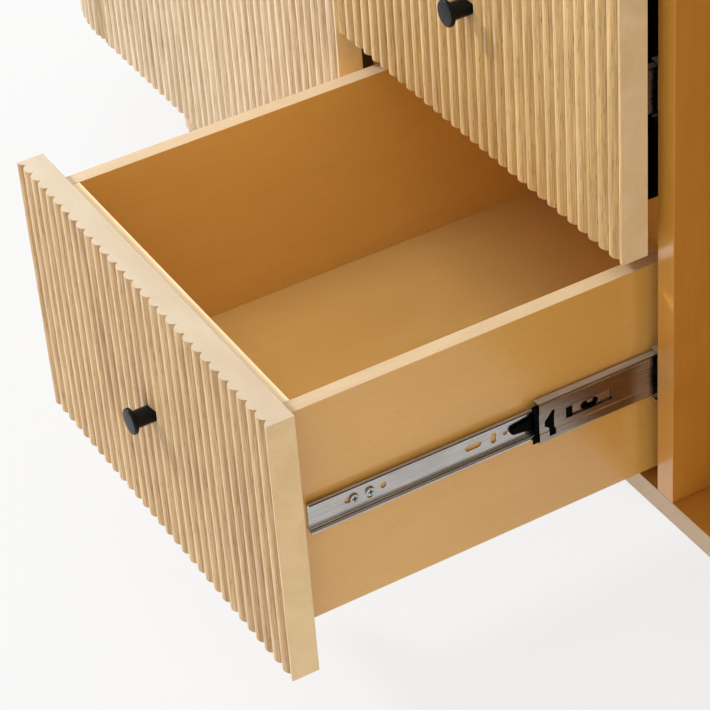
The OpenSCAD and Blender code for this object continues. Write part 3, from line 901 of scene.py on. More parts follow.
@dataclass
class Studio:
    """Floor, backdrop light, lamps and camera.

    The fill is the strength of the even light, mirrored is what glossy surfaces see of it, and
    backdrop is what the camera sees. The glow is the floor's own strength to the camera, the
    shadow is how strongly it shows the unit's shadow, and paper is its colour to everything else.
    """

    target: tuple[float, float, float] = (0.04, -0.40, 0.28)
    focal_px: float = 2806.5
    picture_px: float = 710.0
    eye: tuple[float, float, float] = (1.47436, -1.14961, 1.50068)
    right: tuple[float, float, float] = (0.505488, 0.860449, -0.064102)
    down: tuple[float, float, float] = (0.495453, -0.350281, -0.794877)
    ahead: tuple[float, float, float] = (-0.706405, 0.370041, -0.603374)
    floor_radius: float = 40.0
    fill: float = 0.68
    mirrored: float = 0.35
    backdrop: float = 0.955
    glow: float = 0.81
    shadow: float = 0.1
    paper: float = 0.8
    lamps: tuple[Lamp, ...] = (
        Lamp("key", (-0.753, -0.424, 0.5), 9.0, 0.77, 727.0),
        Lamp("top", (0.0, -0.35, 1.0), 3.5, 2.0, 32.0),
        Lamp("back", (-0.6, 0.370, 0.75), 4.0, 2.4, 20.0),
    )

    def camera(self) -> None:
        """Puts the camera where the photograph was taken from."""
        data = bpy.data.cameras.new("camera")
        data.sensor_width = 36.0
        data.lens = self.focal_px / self.picture_px * data.sensor_width
        data.clip_start, data.clip_end = 0.05, 200.0
        body = bpy.data.objects.new("camera", data)
        bpy.context.scene.collection.objects.link(body)
        axes = Matrix((self.right, [-c for c in self.down], [-c for c in self.ahead]))
        turn = axes.transposed().to_quaternion().normalized()
        body.matrix_world = Matrix.Translation(self.eye) @ turn.to_matrix().to_4x4()
        bpy.context.scene.camera = body

    def floor(self) -> None:
        """Lays the pale floor, which the camera sees almost white with the unit's shadow."""
        mesh = bpy.data.meshes.new("floor")
        work = bmesh.new()
        bmesh.ops.create_circle(work, cap_ends=True, segments=96, radius=self.floor_radius)
        work.to_mesh(mesh)
        work.free()
        body = bpy.data.objects.new("floor", mesh)
        bpy.context.scene.collection.objects.link(body)
        material = bpy.data.materials.new("white_paper_floor")
        material.use_nodes = True
        tree = material.node_tree
        tree.nodes.clear()
        path = add_node(tree, "ShaderNodeLightPath").outputs
        seen = path["Is Camera Ray"]
        for ray in ("Is Glossy Ray", "Is Transmission Ray"):
            seen = add_node(tree, "ShaderNodeMath", {"operation": "MAXIMUM"}, {
                0: seen, 1: path[ray],
            }).outputs[0]
        glow = add_node(tree, "ShaderNodeEmission", None, {
            "Color": linear("FFFFFF"), "Strength": self.glow,
        }).outputs[0]
        shade, paper = (add_node(tree, "ShaderNodeBsdfDiffuse", None, {
            "Color": (grey, grey, grey, 1.0),
        }).outputs[0] for grey in (self.shadow, self.paper))
        both = add_node(tree, "ShaderNodeAddShader", None, {0: glow, 1: shade}).outputs[0]
        mix = add_node(tree, "ShaderNodeMixShader", None, {0: seen, 1: paper, 2: both})
        add_node(tree, "ShaderNodeOutputMaterial", None, {"Surface": mix.outputs[0]})
        mesh.materials.append(material)

    def sky(self) -> None:
        """Fills the room with even light, and shows the camera a white backdrop."""
        world = bpy.data.worlds.new("white_room")
        bpy.context.scene.world = world
        world.use_nodes = True
        tree = world.node_tree
        tree.nodes.clear()
        path = add_node(tree, "ShaderNodeLightPath").outputs
        seen = add_node(tree, "ShaderNodeMath", {"operation": "MAXIMUM"}, {
            0: path["Is Camera Ray"], 1: path["Is Transmission Ray"],
        }).outputs[0]
        layers = [add_node(tree, "ShaderNodeBackground", None, {
            "Color": linear("FFFFFF"), "Strength": strength,
        }).outputs[0] for strength in (self.fill, self.mirrored, self.backdrop)]
        for share, upper in ((path["Is Glossy Ray"], 1), (seen, 2)):
            layers[0] = add_node(tree, "ShaderNodeMixShader", None, {
                0: share, 1: layers[0], 2: layers[upper],
            }).outputs[0]
        add_node(tree, "ShaderNodeOutputWorld", None, {"Surface": layers[0]})

    def build(self) -> None:
        """Sets up the whole studio."""
        bpy.context.scene.view_settings.view_transform = "Standard"
        self.camera()
        self.floor()
        self.sky()
        for lamp in self.lamps:
            lamp.hang(Vector(self.target))
        log.info("studio: floor, sky, three lamps and camera")


# Sub-assemblies


@dataclass(frozen=True)
class Layout:
    """The main planes of the unit."""

    half_w: float = 838.0 * MM
    y_front: float = -268.0 * MM
    y_back: float = 280.0 * MM
    leg_h: float = 150.0 * MM
    step: float = 238.0 * MM
    z_top: float = 864.0 * MM
    front_t: float = 21.5 * MM
    seam_x: float = 670.6 * MM
    opening: float = 184.3 * MM
    box_side: float = 171.5 * MM

    def foot(self, number: int) -> float:
        """Returns the foot of a drawer's front, counted from the lowest."""
        return self.leg_h + number * self.step


LAYOUT = Layout()
# Edges of turned pieces that turn by less than this many degrees are shaded smooth
TURNED_SMOOTH = 35.0
# Shortest upright edge that counts as a board's corner
CORNER_LENGTH = 20 * MM
# Tilts of the faces in a rail's bends that are painted dark as crease shade
CREASES = ((0.25, 0.5), (0.75, 0.9))


def upright(height: float, z: float) -> tuple[float, Matrix]:
    """Returns a solid's height and the place of its foot."""
    return height, Matrix.Translation((0.0, 0.0, z))


def load_solid(node: str) -> bmesh.types.BMesh:
    """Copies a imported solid, with its loose triangles merged.

    Args:
        node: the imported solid.

    Returns:
        The copy.
    """
    work = bmesh.new()
    work.from_mesh(frame["nodes"][node].data)
    for face in work.faces:
        face.material_index = 0
    bmesh.ops.remove_doubles(work, verts=work.verts, dist=WELD)
    return work


def paint(work: bmesh.types.BMesh, number: int, way: tuple[float, float, float]) -> None:
    """Gives the faces that look one way a material number.

    Args:
        work: the solid.
        number: the material number.
        way: the way that they look.
    """
    for face in work.faces:
        if face.normal.dot(Vector(way)) > SAME_WAY:
            face.material_index = number


def outline_edges(work: bmesh.types.BMesh, low: float,
                  high: float) -> list[bmesh.types.BMEdge]:
    """Lists the edges that lie in the bottom or the top of an upright solid."""
    return [e for e in work.edges
            if any(all(abs(v.co.z - z) < TINY for v in e.verts) for z in (low, high))]


def convex_corners(work: bmesh.types.BMesh, degrees: float) -> list[bmesh.types.BMEdge]:
    """Lists the upright edges that turn outwards by more than an angle.

    Args:
        work: the solid.
        degrees: the angle.

    Returns:
        The edges.
    """
    limit = math.radians(degrees)
    return [e for e in work.edges if len(e.link_faces) == 2
            and abs(e.verts[0].co.z - e.verts[1].co.z) > CORNER_LENGTH
            and e.calc_face_angle_signed(0.0) > limit]


@dataclass
class RibbedBoard:
    """An upright board with ribs on its front."""

    ribs: RibRow = field(default_factory=RibRow)
    eased: float = 0.45 * MM

    def flat(self, x0: float, x1: float, height: float, z: float,
             rounded: float = 0.0) -> bmesh.types.BMesh:
        """Makes a flat ribbed board.

        Args:
            x0, x1: its ends.
            height: its height.
            z: its foot.
            rounded: radius of the front corner at the first end.

        Returns:
            The board.
        """
        r, land, y = self.ribs.radius, self.ribs.land, LAYOUT.y_front
        count = round((x1 - x0 - 2 * land) / self.ribs.pitch)
        step = (x1 - x0 - 2 * land) / count
        centres = [Vector((x0 + land + i * step, y + r)) for i in range(count + 1)]
        edge_y = y + r - math.sqrt(r * r - land * land)
        sketch = Sketch()
        if rounded:
            middle = Vector((x0 + rounded, y + rounded))
            meet = crossing(middle, rounded, centres[0], r, Vector((x0 + 3 * MM, y)))
            sketch.start(x0, y + rounded).arc_to(tuple(middle), tuple(meet), CORNER_STEPS)
        else:
            sketch.start(x0, edge_y)
        self.ribs.draw(sketch, centres, [Vector((0, -1))] * len(centres),
                       Vector((x1, edge_y)))
        sketch.line((x1, y + LAYOUT.front_t), (x0, y + LAYOUT.front_t))
        work = sketch.close().solid(*upright(height, z))
        self.finish_edges(work, z, z + height)
        paint(work, 3, (0, 1, 0))
        return work

    def finish_edges(self, work: bmesh.types.BMesh, low: float, high: float) -> None:
        """Eases the ends and the corners, and marks the sawn ends.

        Args:
            work: the board.
            low, high: heights of its two ends.
        """
        chosen = set(outline_edges(work, low, high)) | set(convex_corners(work, 70.0))
        ease(work, self.eased, 2, list(chosen))
        for way in ((0, 0, -1), (1, 0, 0), (-1, 0, 0), (0, 1, 0)):
            paint(work, 1, way)
        # The upper ends take the third finish, whose whitish tone is a painted sheen
        paint(work, 2, (0, 0, 1))


# A knob's curve from its neck to its head, in mm: out from the neck's or the head's radius, and
# up from the back of the head
NECK_CURVE = ((0.0, -2.4), (0.35, -1.2))
HEAD_CURVE = ((-0.9, -0.3), (-0.25, 0.1), (0.0, 0.6))


@dataclass
class Knob:
    """A turned knob: straight neck and flat head with a rounded rim."""

    neck: float = 6.8 * MM
    head: float = 10.25 * MM
    reach: float = 17.5 * MM
    rim: float = 3.6 * MM
    bed: float = 3.0 * MM
    round_r: float = 1.1 * MM
    crown: float = 0.25 * MM
    bends: int = 4
    steps: int = 72

    def section(self) -> list[tuple[float, float]]:
        """Works out the half section, from the ribs out to the middle of the head.

        Returns:
            Radius and height of each point.
        """
        back = self.reach - self.rim
        points = [(0.0, -self.bed), (self.neck, -self.bed)]
        for radius, curve in ((self.neck, NECK_CURVE), (self.head, HEAD_CURVE)):
            points += [(radius + out * MM, back + up * MM) for out, up in curve]
        for i in range(self.bends + 1):
            turn = math.pi / 2 * i / self.bends
            points.append((self.head - self.round_r * (1 - math.cos(turn)),
                           self.reach - self.crown - self.round_r * (1 - math.sin(turn))))
        points += [(self.head * 0.6, self.reach - 0.1 * MM), (0.0, self.reach)]
        return points

    def make(self, x: float, y: float, z: float) -> bmesh.types.BMesh:
        """Turns the knob and sets it on a front's face."""
        place = Matrix.Translation((x, y, z)) @ Matrix.Rotation(math.pi / 2, 4, "X")
        return lathe(self.section(), self.steps, place)


@dataclass
class Channel:
    """Section of a runner's rail: a web with two lips, whose races are slightly hollow.

    A rail may have a raised panel along its web, with sloping sides.
    """

    height: float
    depth: float
    sheet: float = 1.3 * MM
    bend: float = 2.2 * MM
    race: float = 0.35 * MM
    panel: float = 0.0
    panel_h: float = 0.0
    slope: float = 0.8 * MM

    def sketch(self) -> Sketch:
        """Draws the section with the web on the second axis and the lips along the first.

        Returns:
            The closed sketch.
        """
        h, t, b, d = self.height / 2, self.sheet, self.bend, self.depth
        p, s = self.panel_h / 2, self.slope
        out = Sketch().start(d, h)
        self.lip(out, (d, h), (b, h))
        out.arc((b, h - b), math.pi / 2, 5)
        if self.panel:
            out.line((0, p + s), (self.panel, p), (self.panel, -p), (0, -p - s))
        out.line((0, b - h)).arc((b, b - h), math.pi / 2, 5)
        self.lip(out, (b, -h), (d, -h))
        out.line((d, t - h))
        self.lip(out, (d, t - h), (b, t - h))
        out.arc((b, b - h), -math.pi / 2, 8)
        if self.panel:
            out.line((t, -p - s), (t + self.panel, -p), (t + self.panel, p), (t, p + s))
        out.line((t, h - b)).arc((b, h - b), -math.pi / 2, 4)
        self.lip(out, (b, h - t), (d, h - t))
        return out.close()

    def lip(self, out: Sketch, a: tuple[float, float], b: tuple[float, float],
            pieces: int = 4) -> None:
        """Draws one face of a lip along a shallow arc.

        Args:
            out: the sketch.
            a, b: the face's ends.
            pieces: the number of straight pieces.
        """
        side = 1 if a[1] > 0 else -1
        for i in range(1, pieces + 1):
            f = i / pieces
            dip = self.race * math.sin(math.pi * f) * -side
            out.line((a[0] + (b[0] - a[0]) * f, a[1] + (b[1] - a[1]) * f + dip))

    def finish_number(self, normal: Vector, up: float) -> int:
        """Picks the finish of a face by where it lies on the rail.

        Args:
            normal: the way it faces, with X towards the rail's open side.
            up: its height over the rail's middle.

        Returns:
            The number of the plain steel, a crease with painted shade, a lip's outer face with
            painted sheen, or a sheared edge with painted shade.
        """
        low = -up > self.height / 2 - self.bend - self.sheet
        if not low and normal.x > 0.99 and up > self.height / 2 - self.sheet:
            return 3
        tilt = normal.z if low and normal.x > -0.05 else 0.0
        if any(least < tilt < most for least, most in CREASES):
            return 1
        return 2 if tilt > 0.95 or (normal.z > 0.9 and not low) else 0

    def rail(self, x: float, way: int, y: float, length: float, z: float) -> bmesh.types.BMesh:
        """Makes a rail on the left of the unit.

        Args:
            x: plane of the web's back.
            way: 1 if the lips point to the box, and -1 if they point to the carcass.
            y: its front end.
            length: its length.
            z: its middle.

        Returns:
            The rail.
        """
        turn = Matrix(((way, 0, 0, x), (0, 0, 1, y), (0, 1, 0, z), (0, 0, 0, 1)))
        work = self.sketch().solid(length, turn)
        for face in work.faces:
            normal = Vector((face.normal.x * way, face.normal.y, face.normal.z))
            face.material_index = self.finish_number(normal, face.calc_center_median().z - z)
        return work


# Sections of a runner's three rails
BOX_CHANNEL = Channel(26.0 * MM, 5.2 * MM, bend=4.2 * MM)
MIDDLE_CHANNEL = Channel(35.3 * MM, 6.8 * MM, panel=0.5 * MM, panel_h=17.0 * MM)
CABINET_CHANNEL = Channel(45.7 * MM, 9.5 * MM, bend=2.6 * MM)
# Places on a runner, in mm. Y is counted from the rail's front end, and Z from its middle.
# Slots of a drawer rail: place in Y and Z, length and height
RAIL_SLOTS = ((36.7, 0.0, 10.0, 5.0), (52.0, -1.6, 5.0, 9.0), (350.0, 0.0, 10.0, 5.0),
              (135.5, 0.0, 13.0, 5.0), (152.0, 0.0, 4.5, 9.5), (62.7, 0.2, 4.6, 5.4),
              (161.8, 0.0, 3.6, 3.6))
# The hooked slot of the latch plate and the tongue in it, in the same way
HOOK = (43.0, -0.6, 15.0, 7.4)
TONGUE = (43.5, 2.6, 5.6, 5.6)
# Low and high corner, in Y and Z, of the middle rail's window, of the latch plate in it, and of
# the latch hole in the cabinet rail
WINDOW = ((22.4, -4.4), (61.2, 5.2))
PLATE = ((28.8, -4.2), (60.6, 5.6))
LATCH_HOLE = ((3.0, -6.0), (11.0, 6.0))
# The crooked hole near the front end of a middle rail
NOTCH = [(10.8, 8.2), (7.0, 3.6), (4.4, 0.6), (4.4, -3.4), (8.0, -6.2), (8.0, -13.4),
         (13.6, -13.4), (13.6, -9.0), (12.4, -6.4), (12.4, 2.0), (13.2, 8.2)]
# The black stop in its front end
STOP = [(-4.8, 16.3), (-4.8, 11.5), (-3.0, 9.5), (-2.6, -8.5), (-4.8, -11.0), (-4.8, -16.3),
        (28.6, -16.3), (28.6, 16.3)]
# The release lever's body, whose front end is round
LEVER = [(3.4, -3.4), (20.0, -5.6), (20.0, 5.6), (3.4, 3.4)]
# Ball strips: X in the unit, height, width, the balls' diameter, and place in Y
BALL_STRIPS = ((-174.8, 14.68, 3.0, 2.85, 8.0), (-177.25, 19.6, 4.0, 3.4, 300.0))


@dataclass
class Runner:
    """The two ball-bearing runners of one drawer. The left pieces are made and then mirrored.

    The plate and the stop are set in from the side of the opening, and the lever stands off the
    side of the box.
    """

    drawer: str
    number: int
    pull: float
    length: float = 450.0 * MM
    front: float = -238.5 * MM
    up: float = 121.0 * MM
    share: float = 0.3333
    mid_lead: float = 0.5 * MM
    mid_web: float = 4.6 * MM
    cabinet_front: float = -232.8 * MM
    plate_inset: float = 6.6 * MM
    plate_t: float = 0.5 * MM
    stop_inset: float = 5.95 * MM
    stop_t: float = 1.3 * MM
    lever_inset: float = 1.3 * MM
    lever_t: float = 2.4 * MM
    lever_place: float = 165.0 * MM
    set_back: float = 3.2 * MM
    half_strip: float = 0.4 * MM
    balls: int = 5
    ball_step: float = 26.0 * MM

    @property
    def z(self) -> float:
        """Height of the runner's middle."""
        return LAYOUT.foot(self.number) + self.up

    @property
    def mid_front(self) -> float:
        """Front end of the middle rail, which follows the drawer by a share of its pull."""
        return self.front + self.mid_lead - self.pull * self.share

    def slot(self, place: tuple[float, float, float, float], y: float, x: float,
             depth: float) -> bmesh.types.BMesh:
        """Makes the cutter of one of the slots above.

        Args:
            place: place in Y and Z, length and height of the slot, in mm.
            y: front end of its rail.
            x: where the cutter starts.
            depth: how far it goes along X.

        Returns:
            The cutter.
        """
        along, up, length, height = place
        return slot_cutter(y + along * MM, self.z + up * MM, length * MM, height * MM, x, depth)

    def block(self, corners: tuple[tuple[float, float], tuple[float, float]], y: float,
              x0: float, x1: float, eased: float = 0.0) -> bmesh.types.BMesh:
        """Makes a block over one of the rectangles above.

        Args:
            corners: low and high corner in Y and Z, in mm.
            y: front end of its rail.
            x0, x1: its two sides.
            eased: radius of its edges, or 0 for sharp ones.

        Returns:
            The block.
        """
        low, high = corners
        return box_solid((x0, y + low[0] * MM, self.z + low[1] * MM),
                         (x1, y + high[0] * MM, self.z + high[1] * MM), eased)

    def drawer_rail(self) -> bmesh.types.BMesh:
        """Makes the rail on the box, with its slots.

        Returns:
            The rail.
        """
        y = self.front - self.pull
        rail = BOX_CHANNEL.rail(-LAYOUT.box_side, -1, y + self.set_back,
                                self.length - self.set_back, self.z)
        return cut(rail, [self.slot(place, y, -LAYOUT.box_side - 3 * MM, 5 * MM)
                          for place in RAIL_SLOTS])

    def mid_rail(self) -> bmesh.types.BMesh:
        """Makes the middle rail, with its notch and window.

        Returns:
            The rail.
        """
        y, web = self.mid_front, -LAYOUT.opening + self.mid_web
        rail = MIDDLE_CHANNEL.rail(web, 1, y, self.length, self.z)
        low, high = web - 1 * MM, web + 4 * MM
        notch = Sketch.traced(y, NOTCH).close().solid(high - low, side_on(low, 0.0, self.z))
        return cut(rail, [notch, self.block(WINDOW, y, low, high)])

    def window_plate(self) -> bmesh.types.BMesh:
        """Makes the bright plate inside the middle rail's window, with its hooked slot.

        Returns:
            The plate.
        """
        x, y = -LAYOUT.opening + self.plate_inset, self.mid_front
        plate = self.block(PLATE, y, x, x + self.plate_t, 0.1 * MM)
        plate = cut(plate, [self.slot(HOOK, y, x - MM, 3 * MM)])
        join(plate, self.slot(TONGUE, y, x, self.plate_t))
        return plate

    def bumper(self) -> bmesh.types.BMesh:
        """Makes the black stop in the front end of the middle rail.

        Returns:
            The stop.
        """
        stop = Sketch.traced(self.mid_front, STOP).close().solid(
            self.stop_t, side_on(-LAYOUT.opening + self.stop_inset, 0.0, self.z))
        ease(stop, 0.25 * MM, 1, sharp_edges(stop))
        return stop

    def lever(self) -> bmesh.types.BMesh:
        """Makes the black release lever, a long drop that widens to the back.

        Returns:
            The lever.
        """
        y = self.front - self.pull + self.lever_place
        sketch = Sketch.traced(y, LEVER).arc((y + LEVER[0][0] * MM, 0.0), math.pi * 0.96, 8)
        drop = sketch.close().solid(
            -self.lever_t, side_on(-LAYOUT.box_side - self.lever_inset, 0.0, self.z))
        ease(drop, 0.5 * MM, 2, sharp_edges(drop, 50.0))
        return drop

    def cabinet_rail(self) -> bmesh.types.BMesh:
        """Makes the rail on the carcass, with its front latch hole.

        Returns:
            The rail.
        """
        x, y = -LAYOUT.opening, self.cabinet_front
        rail = CABINET_CHANNEL.rail(x, 1, y, self.length, self.z)
        return cut(rail, [self.block(LATCH_HOLE, y, x - MM, x + 3 * MM)])

    def ball_strips(self) -> bmesh.types.BMesh:
        """Makes the runner's four strips of balls.

        Returns:
            The strips with their balls.
        """
        work, half = bmesh.new(), self.half_strip
        for row in (-1, 1):
            for x, up, width, ball, place in BALL_STRIPS:
                x, y, z = x * MM, self.mid_front + place * MM, self.z + row * up * MM
                join(work, box_solid((x - width * MM / 2, y, z - half),
                                     (x + width * MM / 2, y + self.balls * self.ball_step,
                                      z + half), 0.15 * MM))
                for i in range(self.balls):
                    spot = Matrix.Translation((x, y + (i + 0.5) * self.ball_step, z))
                    bmesh.ops.create_icosphere(work, subdivisions=2, radius=ball * MM / 2,
                                               matrix=spot)
        return work

    def build(self) -> None:
        """Makes all the rails of the drawer, and their right ones too."""
        d = self.drawer
        box, mid = f"{d}_drawer", f"{d}_mid_slide"
        black, bright = [Finish.BLACK_PLASTIC], [Finish.SCREW_STEEL]
        # The rails' creases, lips and sheared edges take painted shade and painted sheen
        steel = [Finish.RUNNER_STEEL, Finish.CREASE_SHADE_STEEL, Finish.SHEEN_LIP_STEEL, Finish.SHADE_LINE_STEEL]
        # The middle rails take the darker, browner steel: painted shade and painted reflection
        shaded_steel = [Finish.SHADED_RAIL_STEEL, *steel[1:]]
        for make, name, body, slot, finishes, stands_for in (
                (self.drawer_rail, "box_rails", box, "runner_steel", steel,
                 [f"{d}_drawer_rails"]),
                (self.lever, "release_levers", box, "black_plastic", black, [f"{d}_levers"]),
                (self.mid_rail, "middle_rails", mid, "runner_steel", shaded_steel,
                 [f"{d}_mid_rails"]),
                (self.window_plate, "latch_plates", mid, "runner_steel", bright, []),
                (self.ball_strips, "ball_strips", mid, "screw_steel", bright, []),
                (self.bumper, "rail_stops", mid, "black_plastic", black, [f"{d}_bumpers"]),
                (self.cabinet_rail, "cabinet_rails", "cabinet", "runner_steel", steel,
                 ["cabinet_rails"])):
            work = make()
            join(work, mirrored(work))
            add_piece(work, f"{d}_{name}", body, finishes, stands_for)


# Low and high corner of a black strip that stands in for shade beside a shut front, in mm: X from
# the box's side, Y from the back of the front and Z from its foot
SHADE_STRIP = ((-0.6, 0.5, 30.0), (0.1, 42.0, 212.0))


@dataclass
class Drawer:
    """One drawer: ribbed front, knob, box and runners."""

    name: str
    number: int
    pull: float = 0.0
    width: float = 382.0 * MM
    height: float = 226.0 * MM
    knob: Knob = field(default_factory=Knob)
    board: RibbedBoard = field(default_factory=RibbedBoard)

    @property
    def body(self) -> str:
        """Name of the body that the drawer's pieces ride on."""
        return f"{self.name}_drawer"

    def front(self) -> None:
        """Makes the ribbed front."""
        z = LAYOUT.foot(self.number)
        work = self.board.flat(-self.width / 2, self.width / 2, self.height, z)
        bmesh.ops.translate(work, verts=work.verts, vec=(0.0, -self.pull, 0.0))
        # A shut front takes the brighter copies of the oak and its edges: painted light
        finishes = RIBBED if self.pull else CLOSED_RIBBED
        add_piece(work, f"{self.name}_ribbed_front", self.body,
                  finishes, [f"{self.name}_front"])

    def handle(self) -> None:
        """Makes the knob in the middle of the front."""
        z = LAYOUT.foot(self.number) + self.height / 2
        add_piece(self.knob.make(0.0, LAYOUT.y_front - self.pull, z),
                  f"{self.name}_turned_knob", self.body, [Finish.KNOB_BLACK],
                  [f"{self.name}_knob"], TURNED_SMOOTH)

    def box(self) -> None:
        """Makes the boards of the box with eased edges."""
        # The inner front's top takes the paler edge finish: painted light in the shade of the
        # taller front
        for part, finishes in (("inner_front", [Finish.CROSS_WOOD, Finish.PAINTED_LIGHT_EDGE]),
                               # The tops of the sides and back take the paler edge finish: painted
                               # sheen
                               ("sides", [Finish.BOX_WOOD, Finish.SHEEN_BOARD_EDGE]),
                               ("back", [Finish.CROSS_WOOD, Finish.SHEEN_BOARD_EDGE]),
                               ("bottom", [Finish.BOTTOM_WOOD])):
            copy_board(f"{self.name}_{part}", f"{self.name}_eased_{part}",
                       finishes, (0, 0, 1))

    def painted_shade_strips(self) -> None:
        """Makes black strips on the sides, just behind a front that stays shut: painted shade in
        the dark gap beside the front.
        """
        start = (-LAYOUT.box_side, LAYOUT.y_front + LAYOUT.front_t, LAYOUT.foot(self.number))
        strip = box_solid(*(tuple(a + b * MM for a, b in zip(start, corner))
                            for corner in SHADE_STRIP), 0.15 * MM)
        join(strip, mirrored(strip))
        add_piece(strip, f"{self.name}_painted_shade_strips", self.body,
                  [Finish.BLACK_PLASTIC], [])

    def build(self) -> None:
        """Makes the whole drawer."""
        self.front()
        self.handle()
        self.box()
        if not self.pull:
            self.painted_shade_strips()
        ScrewSet(f"{self.name}_screws").build()
        Runner(self.name, self.number, self.pull).build()


@dataclass
class ScrewSet:
    """The screws of one drawer, with eased heads and recesses painted dark as shade.

    The recess reaches out to a share of the head's radius. Corners further out than the wide share
    belong to the head, and those past the rim share to its rim.
    """

    node: str
    head: float = 3.6 * MM
    reach: float = 0.66
    depth: float = 1.4 * MM
    sunk: float = 0.05 * MM
    flush: float = 0.01 * MM
    wide: float = 0.9
    rim: float = 0.95
    eased: float = 0.5 * MM

    def islands(self, work: bmesh.types.BMesh) -> list[list[bmesh.types.BMFace]]:
        """Sorts faces by the screw that they belong to.

        Args:
            work: the mesh of all the screws.

        Returns:
            The faces of each screw.
        """
        left, found = set(work.faces), []
        while left:
            stack = [left.pop()]
            screw = list(stack)
            while stack:
                for edge in stack.pop().edges:
                    for face in edge.link_faces:
                        if face in left:
                            left.remove(face)
                            stack.append(face)
                            screw.append(face)
            found.append(screw)
        return found

    def dress(self, screw: list[bmesh.types.BMFace]) -> list[bmesh.types.BMEdge]:
        """Paints one screw's recess dark, as painted shade.

        Args:
            screw: the screw's faces.

        Returns:
            The edges round its head.
        """
        spots = [v.co for face in screw for v in face.verts]
        low = Vector([min(c[i] for c in spots) for i in range(3)])
        high = Vector([max(c[i] for c in spots) for i in range(3)])
        along = max(range(3), key=lambda i: (high - low)[i])
        middle = (low + high) / 2
        across = [i for i in range(3) if i != along]

        def radius(spot: Vector) -> float:
            """Returns a point's distance from the screw's axis."""
            return math.hypot(*(spot[i] - middle[i] for i in across))

        wide = [c[along] for c in spots if radius(c) > self.wide * self.head]
        top = high[along] if sum(wide) / len(wide) > middle[along] else low[along]
        for face in screw:
            spot = face.calc_center_median()
            if radius(spot) < self.reach * self.head and \
                    self.sunk < abs(spot[along] - top) < self.depth:
                face.material_index = 1
        return [e for face in screw for e in face.edges if all(
            abs(v.co[along] - top) < self.flush and radius(v.co) > self.rim * self.head
            for v in e.verts)]

    def build(self) -> None:
        """Makes the screws."""
        work, rims = load_solid(self.node), []
        for screw in self.islands(work):
            rims += self.dress(screw)
        ease(work, self.eased, 2, list(set(rims)))
        # The recesses take the black nylon finish as painted shade
        add_piece(work, f"{self.node}_finished", frame["nodes"][self.node]["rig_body"],
                  [Finish.SCREW_STEEL, Finish.BLACK_PLASTIC], [self.node])


def copy_board(node: str, name: str, finishes: list[Finish],
               way: tuple[float, float, float], radius: float = 0.5 * MM) -> None:
    """Makes a packed board again with eased edges.

    Args:
        node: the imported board.
        name: the new piece's name.
        finishes: the board's finish, and that of its sawn edges if it is another.
        way: the direction that those edges face.
        radius: how much the edges are eased.
    """
    work = load_solid(node)
    bmesh.ops.dissolve_limit(work, angle_limit=math.radians(0.5), verts=work.verts,
                             edges=work.edges)
    long = [e for e in sharp_edges(work, 60.0) if e.calc_length() > 5 * radius]
    ease(work, radius, 2, long)
    if len(finishes) > 1:
        paint(work, 1, way)
    add_piece(work, name, frame["nodes"][node]["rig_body"], finishes, [node])


@dataclass
class Door:
    """A ribbed door on one side. The right one stands open in the photograph's pose."""

    side: str
    angle: float
    inner: float = 196.6 * MM
    outer: float = 667.6 * MM
    height: float = 702.0 * MM
    pivot_in: float = 5.5 * MM
    knob_in: float = 45.0 * MM
    knob_up: float = 430.0 * MM
    knob: Knob = field(default_factory=Knob)
    board: RibbedBoard = field(default_factory=RibbedBoard)

    def swung(self, work: bmesh.types.BMesh) -> bmesh.types.BMesh:
        """Turns a closed left piece to the door's side and angle.

        Args:
            work: the piece, which is freed if the door is the right one.

        Returns:
            The piece in its place.
        """
        pivot = Vector((-(self.outer - self.pivot_in), LAYOUT.y_front + self.pivot_in, 0.0))
        turn = Matrix.Translation(pivot) @ Matrix.Rotation(-self.angle, 4, "Z") @ \
            Matrix.Translation(-pivot)
        bmesh.ops.transform(work, matrix=turn, verts=work.verts)
        if self.side == "left":
            return work
        other = mirrored(work)
        work.free()
        return other

    def build(self) -> None:
        """Makes the door and its knob."""
        leaf = self.board.flat(-self.outer, -self.inner, self.height, LAYOUT.leg_h,
                               self.pivot_in)
        add_piece(self.swung(leaf), f"{self.side}_ribbed_door", f"{self.side}_door",
                  DOOR_RIBBED, [f"{self.side}_door"])
        knob = self.knob.make(-self.inner - self.knob_in, LAYOUT.y_front,
                              LAYOUT.leg_h + self.knob_up)
        add_piece(self.swung(knob), f"{self.side}_turned_door_knob", f"{self.side}_door",
                  [Finish.KNOB_BLACK], [f"{self.side}_door_knob"], TURNED_SMOOTH)


